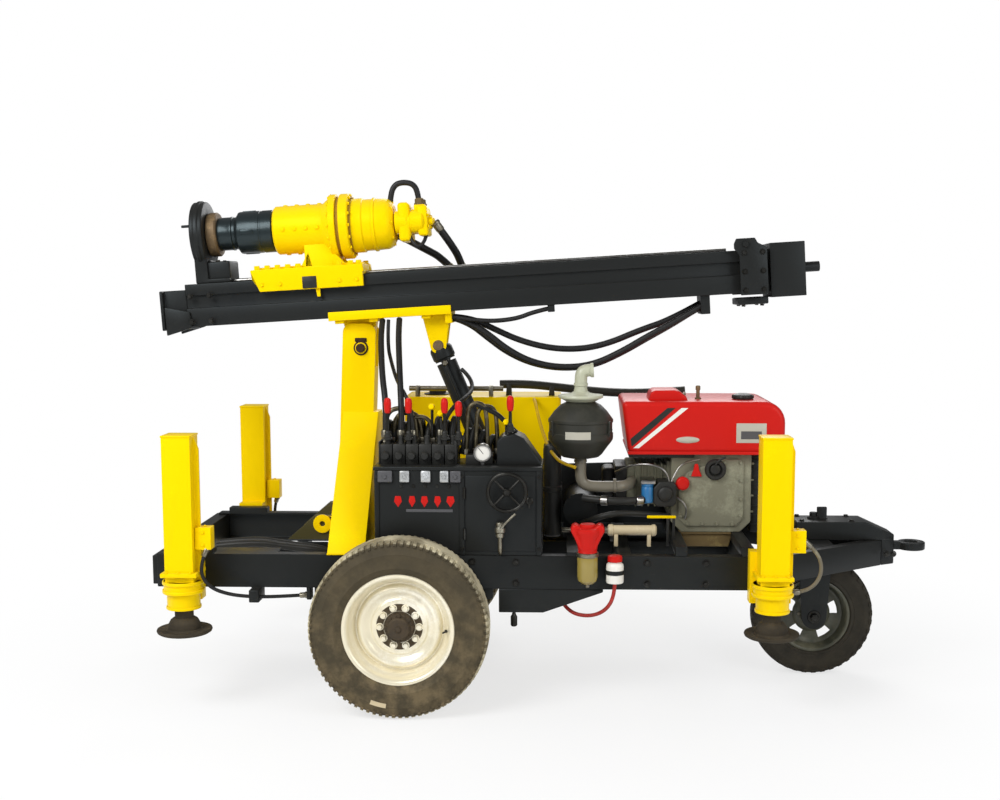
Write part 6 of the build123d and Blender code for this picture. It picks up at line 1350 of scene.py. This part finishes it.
def add_console():
    softened("console", BLACK, 0.006, 3)
    trim = [drawn("top_rail", mm((-704, 984), (-704, 1000), (-10, 1000), (-10, 984)), -0.526, -0.244,
        edge=0.004)]
    posts = (-0.69, -0.34, -0.024)
    for x in posts:
        trim.append(drawn("post", rectangle(x - 0.01, x + 0.01, 0.634, 0.984), -0.5255, -0.516, edge=0.003))
    trim.append(drawn("door", rectangle(-0.326, -0.04, 0.65, 0.964), -0.5245, -0.516, edge=0.003))
    trim.append(drawn("slope", mm((-200, 998), (-200, 1098), (-180, 1118), (-124, 1130), (-88, 1112),
        (-16, 1010), (-16, 998)), -0.47, -0.3, edge=0.006, steps=3))
    trim.append(pipe("brace", mm((-290, -400, 1246), (-200, -400, 1205), (-120, -400, 1128)), 0.01, order=2))
    dress(join("console_trim", trim), BLACK)

    hinges = [turned("hinge", mm((0, 0), (6, 0), (6, 46), (0, 46)), at((-0.33, -0.5265, z)), 20)
        for z in (0.7, 0.87)]
    latch = [turned("latch", mm((0, 8), (12, 8), (16, 5), (16, 0)), at((-0.064, -0.5245, 0.86), (0, -1, 0)),
        28), block("latch_bar", (-0.067, -0.538, 0.832), (-0.061, -0.53, 0.874), edge=0.0015)]
    dress(join("door_fittings", hinges + latch), STEEL_DARK)
    heads = [((x, -0.5262, z), (0, -1, 0)) for x in posts for z in (0.66, 0.96)]
    heads += [((-0.588 + 0.049 * step, -0.52, 0.92), (0, -1, 0)) for step in range(5)]
    dress(bolts("console_screws", heads, 0.0055, 0.004), STEEL_DARK)

    for name, spots, material in (("bright_ends", mm((-575, 20), (-488, 20), (-412, 18)), SILVER_END),
            ("dark_ends", ((-0.655, 0.03), (-0.366, 0.022)), GREY_END)):
        ends = []
        for x, half in spots:
            ends.append(drawn("end", rectangle(x - half, x + half, 0.936, 0.984), -0.534, -0.518, edge=0.005,
                steps=3))
            ends.append(turned("knob", mm((0, 6), (7, 6), (10, 0)), at((x, -0.534, 0.96), (0, -1, 0)), 20))
        dress(join(name, ends), material)
    marks = []
    for x, half in mm((-603, 16), (-545, 14), (-494, 15), (-440, 14), (-387, 17)):
        marks.append(drawn("mark", [(x - half, 0.856), (x, 0.832), (x + half, 0.856), (x + half * 0.7, 0.878),
            (x - half * 0.7, 0.878)], -0.5212, -0.5196, edge=0.0004))
    dress(join("red_marks", marks), RED)
    strips = [drawn("strip", rectangle(-0.57, -0.378, 0.812, 0.824), -0.521, -0.5196, edge=0.0004)]
    dress(join("blank_strip", strips), GREY_END)

    bank = []
    for x in (-0.66, -0.606, -0.552, -0.498, -0.444, -0.39):
        bank.append(block("section", (x - 0.026, -0.452, 0.998), (x + 0.026, -0.346, 1.084), edge=0.005))
        bank.append(turned("spool_cap", mm((0, 30), (12, 30), (16, 26), (18, 12), (18, 0)),
            at((x, -0.452, 1.036), (0, -1, 0)), 28))
        bank.append(turned("relief", mm((0, 34), (9, 34), (12, 30), (12, 8), (15, 0)),
            at((x + 0.006, -0.42, 1.084)), 6, edge=0.001))
    bank.append(block("end_plate", (-0.69, -0.455, 0.998), (-0.684, -0.343, 1.096), edge=0.002))
    bank.append(block("end_plate", (-0.376, -0.455, 0.998), (-0.366, -0.343, 1.1), edge=0.003))
    bank.append(block("manifold", (-0.33, -0.452, 0.998), (-0.216, -0.346, 1.04), edge=0.006))
    dress(join("valve_bank", bank), PLASTIC, node="valve_block")
    ports = [turned("port", mm((0, 30), (15, 30), (18, 26), (18, 10), (21, 8), (21, 0)), at((x, -0.385, 1.082)),
        6, edge=0.001) for x in (-0.668, -0.602, -0.552, -0.44)]
    crimps = [turned("crimp", ((0, 0), (r, 0), (r + 0.002, 0.003), (r + 0.002, 0.03), (r, 0.034), (0, 0.034)),
        at((x, -0.4 if x < -0.5 else -0.39, 1.104)), 24) for x, r in mm((-668, 16), (-602, 16), (-552, 11),
        (-440, 12))]
    dress(join("valve_ports", ports + crimps), ZINC)

    arms, knobs, boots = [], [], []
    for x, top in LEVERS:
        base = 1.084 if x < -0.2 else 1.118
        arms.append(block("clevis", (x - 0.009, -0.447, base - 0.006), (x + 0.009, -0.423, base + 0.026),
            edge=0.003))
        arms.append(turned("lever", ((0, 0.0), (0.0085, 0.0), (0.0062, top - 0.062 - base),
            (0, top - 0.06 - base)), at((x, LEVER_Y, base + 0.006), (0, 0.0, 1)), 20))
        boots.append(turned("boot", mm((20, 0), (21, 6), (16, 10), (17, 16), (12, 22), (13, 28), (8, 36)),
            at((x, LEVER_Y, base + 0.018)), 28))
        knobs.append(turned("knob", mm((8.5, 0), (12, 3), (14.5, 18), (15.5, 40), (13.5, 56), (8, 63), (0, 65)),
            at((x, LEVER_Y, top - 0.064)), 28))
    dress(join("levers", arms), STEEL_DARK)
    dress(join("lever_boots", boots), PLASTIC)
    dress(join("lever_knobs", knobs), RED)

    arches, sleeves = [], []
    for x0, x1, y, top, r in mm((-676, -540, -366, 1225, 10), (-640, -520, -350, 1205, 10),
            (-585, -470, -372, 1190, 9), (-330, -240, -400, 1250, 9), (-292, -200, -380, 1236, 9)):
        foot = 1.08 if x0 < -0.4 else 1.036
        arches.append(pipe("arch", [(x0, y, foot), (x0 + 0.002, y, top - 0.055), (x0 + 0.2 * (x1 - x0), y, top),
            (x0 + 0.8 * (x1 - x0), y, top), (x1 - 0.002, y, top - 0.055), (x1, y, foot)], r))
        for x in (x0, x1):
            sleeves.append(turned("arch_nut", ((0, 0), (r + 0.006, 0), (r + 0.006, 0.02), (r + 0.003, 0.024),
                (0, 0.024)), at((x, y, foot)), 6, edge=0.001))
    dress(join("arched_pipes", arches), PIPE_TAN)
    dress(join("arched_pipe_nuts", sleeves), ZINC)
    tips = mm((-437, -395, 1205), (-474, -385, 1232), (-163, -400, 1170))
    plugs = [turned("yellow_plug", mm((0, 26), (11, 26), (14, 22), (14, 0)), at(p, (0, -1, 0.2)), 6, edge=0.001)
        for p in tips]
    stems = [rod("stem", (x, y + 0.006, 1.07), (x, y + 0.006, z), 0.006) for x, y, z in tips]
    dress(join("yellow_plugs", plugs), YELLOW)
    dress(join("plug_stems", stems), STEEL_DARK)
    lines = []
    for x, rise in mm((-672, 0), (-640, 14), (-606, -10), (-572, 20), (-536, 4), (-500, -12), (-464, 16),
            (-430, 0), (-396, 18)):
        lines.append(pipe("line", [(x, -0.352, 1.07), (x + 0.004, -0.348, 1.13 + rise),
            (x + 0.012, -0.31, 1.172 + rise), (x + 0.016, -0.275, 1.12), (x + 0.016, -0.262, 0.99)], 0.0135))
    for x, rise in mm((-350, 30), (-318, 46), (-286, 20), (-250, 0)):
        lines.append(pipe("line", [(x, -0.35, 1.03), (x + 0.01, -0.346, 1.07 + rise),
            (x + 0.03, -0.31, 1.11 + rise), (x + 0.04, -0.27, 1.05), (x + 0.04, -0.262, 0.99)], 0.014))
    dress(join("valve_lines", lines), PLASTIC)

    gauge_place = at((-0.258, -0.462, 1.052), (0, -1, 0))
    rim = turned("gauge_rim", mm((30, 20), (36, 20), (38, 16), (38, -12), (30, -18), (0, -18)), gauge_place, 48)
    stem = turned("gauge_stem", mm((0, 0), (10, 0), (12, 4), (12, 20), (8, 24), (8, 62)),
        at((-0.258, -0.455, 0.99)), 6)
    dress(join("gauge_body", [rim, stem]), STEEL, node="console_fittings")
    face = turned("gauge_face", ((0, 0.015), (0.0325, 0.015), (0.033, 0.0142)), gauge_place, 48)
    dress(face, WHITE_TRIM)
    hand = block("needle", (-0.0012, -0.006, 0.0152), (0.0012, 0.026, 0.0162),
        gauge_place @ Matrix.Rotation(math.radians(38), 4, "Z"), edge=0.0003)
    dress(hand, PLASTIC)

    wheel_place = at((-0.154, -0.565, 0.902), (0, -1, 0))
    ring = [(0.077 + 0.008 * math.cos(a), 0.008 * math.sin(a)) for a in [math.radians(30 * step)
        for step in range(12)]]
    wheel = [turned("ring", ring, wheel_place, 56, closed=True)]
    wheel.append(turned("hub", mm((0, 10), (12, 10), (16, 6), (17, -8), (12, -12), (8, -46), (0, -46)),
        wheel_place, 28))
    for angle in (45, 135, 225, 315):
        turn = wheel_place @ Matrix.Rotation(math.radians(angle), 4, "Z")
        wheel.append(pipe("spoke", [turn @ Vector(p) for p in mm((12, 0, -2), (40, 0, 4), (74, 0, 0))], 0.0052))
    dress(join("handwheel", wheel), STEEL_DARK)
    valve = [turned("ball_valve", mm((0, 0), (14, 0), (17, 4), (17, 18), (22, 24), (22, 40), (17, 46), (17, 60),
        (14, 64), (0, 64)), at((-0.183, -0.545, 0.712)), 32)]
    valve.append(turned("valve_stub", mm((0, 0), (10, 0), (10, 30), (0, 30)), at((-0.183, -0.545, 0.744),
        (0, 1, 0)), 20))
    valve.append(pipe("valve_handle", mm((-183, -562, 744), (-170, -570, 770), (-120, -570, 815)), 0.005))
    valve.append(pipe("valve_pipe", mm((-183, -545, 712), (-183, -545, 670), (-183, -536, 645),
        (-183, -510, 640)), 0.009))
    dress(join("ball_valve", valve), ZINC)


# Wheels
TREAD_ROWS = 10


def tread_tyre(name, centre_y, axle, outer_r, seat_r, width, bead, lugs, lug_depth):
    """A tyre: a turned carcass whose tread faces are raised into ribs and shoulder lugs."""
    half = width / 2
    wall = outer_r - seat_r
    base_r = outer_r - lug_depth
    tread = half * 0.86
    profile = [(seat_r, -bead), (seat_r + 0.012, -bead - 0.005), (seat_r + 0.018, -bead - 0.013),
        (seat_r + 0.26 * wall, -half * 0.955), (seat_r + 0.29 * wall, -half * 0.985),
        (seat_r + 0.33 * wall, -half * 0.972), (seat_r + 0.52 * wall, -half),
        (seat_r + 0.62 * wall, -half * 0.998), (seat_r + 0.65 * wall, -half * 1.012),
        (seat_r + 0.69 * wall, -half * 0.985), (base_r - 0.012, -half * 0.93), (base_r - 0.002, -tread)]
    edge_count = len(profile)
    stops = [-1 + 2 * index / TREAD_ROWS for index in range(1, TREAD_ROWS)]
    profile += [(base_r + 0.004 * (1 - stop ** 2), stop * tread * 0.98) for stop in stops]
    profile += [(r, -y) for r, y in reversed(profile[:edge_count])]
    piece = turned(name, profile, steps=2 * lugs, closed=True)
    edit(piece)

    def raised(centre, normal):
        across = abs(centre.z) / tread
        radius = math.hypot(centre.x, centre.y)
        step = int((math.atan2(centre.y, centre.x) + math.pi) / (2 * math.pi) * 2 * lugs)
        on_tread = radius > base_r - 0.009
        shoulder = 0.62 < across < 1.12 and step % 2 == (0 if centre.z > 0 else 1)
        rib = across < 0.14 or 0.26 < across < 0.5
        return on_tread and (shoulder or rib)

    pick(piece, raised)
    bpy.ops.mesh.extrude_region_shrink_fatten(TRANSFORM_OT_shrink_fatten={"value": lug_depth - 0.004})
    done()
    soften(piece, 0.0012, 1, 40)
    return settle(piece, at((axle[0], centre_y, axle[1]), (0, 1, 0)))


def main_wheel(side, sign):
    place = at((AXLE_X, sign * TRACK_Y, AXLE_Z), (0, sign, 0))
    body = "main_wheel_" + side
    half_section = mm((206, 60), (214, 61), (220, 64), (222, 69), (219, 73.5), (212, 74), (205, 70), (200, 62),
        (197.5, 48), (194, 36), (187, 29), (182, 18), (180, 6), (176, -1), (171, -1), (167, 7), (162, 17),
        (155, 22), (147, 21.5), (136, 15), (124, 7), (117, 5), (113, 6.5), (110, 11), (106, 12), (60, 12),
        (60, 2), (106, 2), (124, -4), (148, 10), (160, 3), (165, -9), (172, -12), (184, -8), (192, -50),
        (200, -62), (206, -70), (214, -74), (220, -72), (222, -68), (216, -62), (206, -60))
    rim = turned("rim", [(1.03 * r, depth) for r, depth in half_section], place, 96, closed=True, angle=50)
    dress(rim, SILVER, node="main_rim_" + side)

    nuts = [(place @ point, (0, sign, 0)) for point, _ in ring_places((0, 0, 0.012), (0, 0, 1), 0.08, 10)]
    dress(bolts("wheel_nuts_" + side, nuts, 0.0115, 0.016), SILVER, body=body)
    # A dark ring under the wheel nuts, darker than the rim about it
    dirt = turned("nut_ring_" + side, ((0.066, 0.0118), (0.066, 0.0132), (0.093, 0.0132), (0.095, 0.0118)),
        place, 72)
    dress(dirt, NUT_RING_DARK, body=body)
    mark = turned("paint_mark_" + side, ((0.3, 0.09), (0.3, 0.0924), (0.318, 0.0912), (0.318, 0.0885)), place,
        120, closed=True)
    mark_turn, mark_half = -1.827, 0.115

    def off_mark(centre, normal):
        turn = math.atan2(centre.z - AXLE_Z, centre.x - AXLE_X)
        return abs(turn - mark_turn) > mark_half

    cut_away(mark, off_mark)
    dress(mark, PALE_TUBE, body=body)
    hub = turned("hub", mm((60, -84), (78, -84), (78, -30), (64, -10), (64, 14), (59, 17), (57, 22), (56, 34),
        (48, 38), (46, 42), (45, 54), (40, 59), (15, 60), (0, 60)), place, 48)
    lobes = [turned("lobe", mm((0, 14), (8.5, 14), (10.5, 11), (10.5, 0)), place @ at(point), 6)
        for point, _ in ring_places((0, 0, 0.032), (0, 0, 1), 0.0515, 8)]
    centre = turned("centre", mm((0, 6), (10, 6), (13, 3), (13, 0)), place @ at((0, 0, 0.0595)), 6)
    dress(join("hub_" + side, [hub, centre] + lobes), HUB_IRON, body=body)
    stem = turned("valve_stem", mm((0, 30), (3.5, 30), (4, 26), (4, 8), (6, 4), (7, 0)),
        place @ at((0.19, -0.012, 0.03), (-0.35, 0, 1)), 16)
    dress(stem, PLASTIC, body=body)
    tyre = tread_tyre("tyre_" + side, sign * TRACK_Y, (AXLE_X, AXLE_Z), AXLE_Z, 0.2125, 0.18, 0.06, 84, 0.011)
    dress(tyre, MAIN_TYRE, node="main_tyre_" + side)


def front_wheel():
    place = at((NOSE_X, 0, NOSE_AXLE_Z), (0, -1, 0))
    rim = turned("rim", mm((152, 43), (158, 44), (163, 47), (164, 51), (160, 54), (153, 53), (148, 46),
        (146, 30), (140, 20), (136, 6), (136, -6), (140, -20), (146, -30), (148, -46), (153, -53), (160, -54),
        (164, -51), (163, -47), (158, -44), (152, -43)), place, 80, closed=True, angle=50)
    disc = turned("disc", mm((34, 12), (56, 14), (70, 10), (82, 0), (100, -2), (118, 0), (128, 6), (138, 8)),
        place, 60)
    inverse = place.inverted()

    def in_window(centre, normal):
        local = inverse @ centre
        turn = math.degrees(math.atan2(local.y, local.x)) % 72
        return 0.08 < math.hypot(local.x, local.y) < 0.12 and turn < 30

    cut_away(disc, in_window)
    choose(disc)
    wall = disc.modifiers.new("wall", "SOLIDIFY")
    wall.thickness = 0.005
    bpy.ops.object.modifier_apply(modifier=wall.name)
    soften(disc, 0.0012, 2, 40)
    hub = turned("hub", mm((12.5, -60), (34, -60), (36, -56), (36, -12), (44, -4), (44, 16), (36, 22), (36, 56),
        (34, 60), (12.5, 60)), place, 40, closed=True)
    dress(join("front_rim", [rim, disc, hub]), RIM_DARK, node="front_rim")
    nuts = [(place @ point, (0, -1, 0)) for point, _ in ring_places((0, 0, 0.013), (0, 0, 1), 0.057, 5)]
    dress(bolts("front_nuts", nuts, 0.008, 0.009), ZINC, body="front_wheel")
    tyre = tread_tyre("tyre_front", 0.0, (NOSE_X, NOSE_AXLE_Z), NOSE_AXLE_Z, 0.1523, 0.112, 0.043, 40, 0.008)
    dress(tyre, TYRE, node="front_tyre")

    softened("front_fork", BLACK, 0.004)
    caps = []
    for side, sign in SIDES:
        place = at((NOSE_X, sign * 0.08, NOSE_AXLE_Z), (0, sign, 0))
        caps.append(turned("pin_nut", mm((0, 22), (15, 22), (19, 19), (19, 0)), place, 6, edge=0.001))
        caps.append(turned("pin_washer", mm((0, 4), (28, 4), (30, 0)), place, 32))
    dress(join("front_pin_caps", caps), STEEL_DARK, body="front_fork")


def add_wheels():
    for side, sign in SIDES:
        main_wheel(side, sign)
    front_wheel()


add_camera()
add_stage()
add_hoses()
add_chassis()
add_hood()
add_engine()
add_air_cleaner()
add_pump_side()
add_console()
add_mast()
add_wheels()
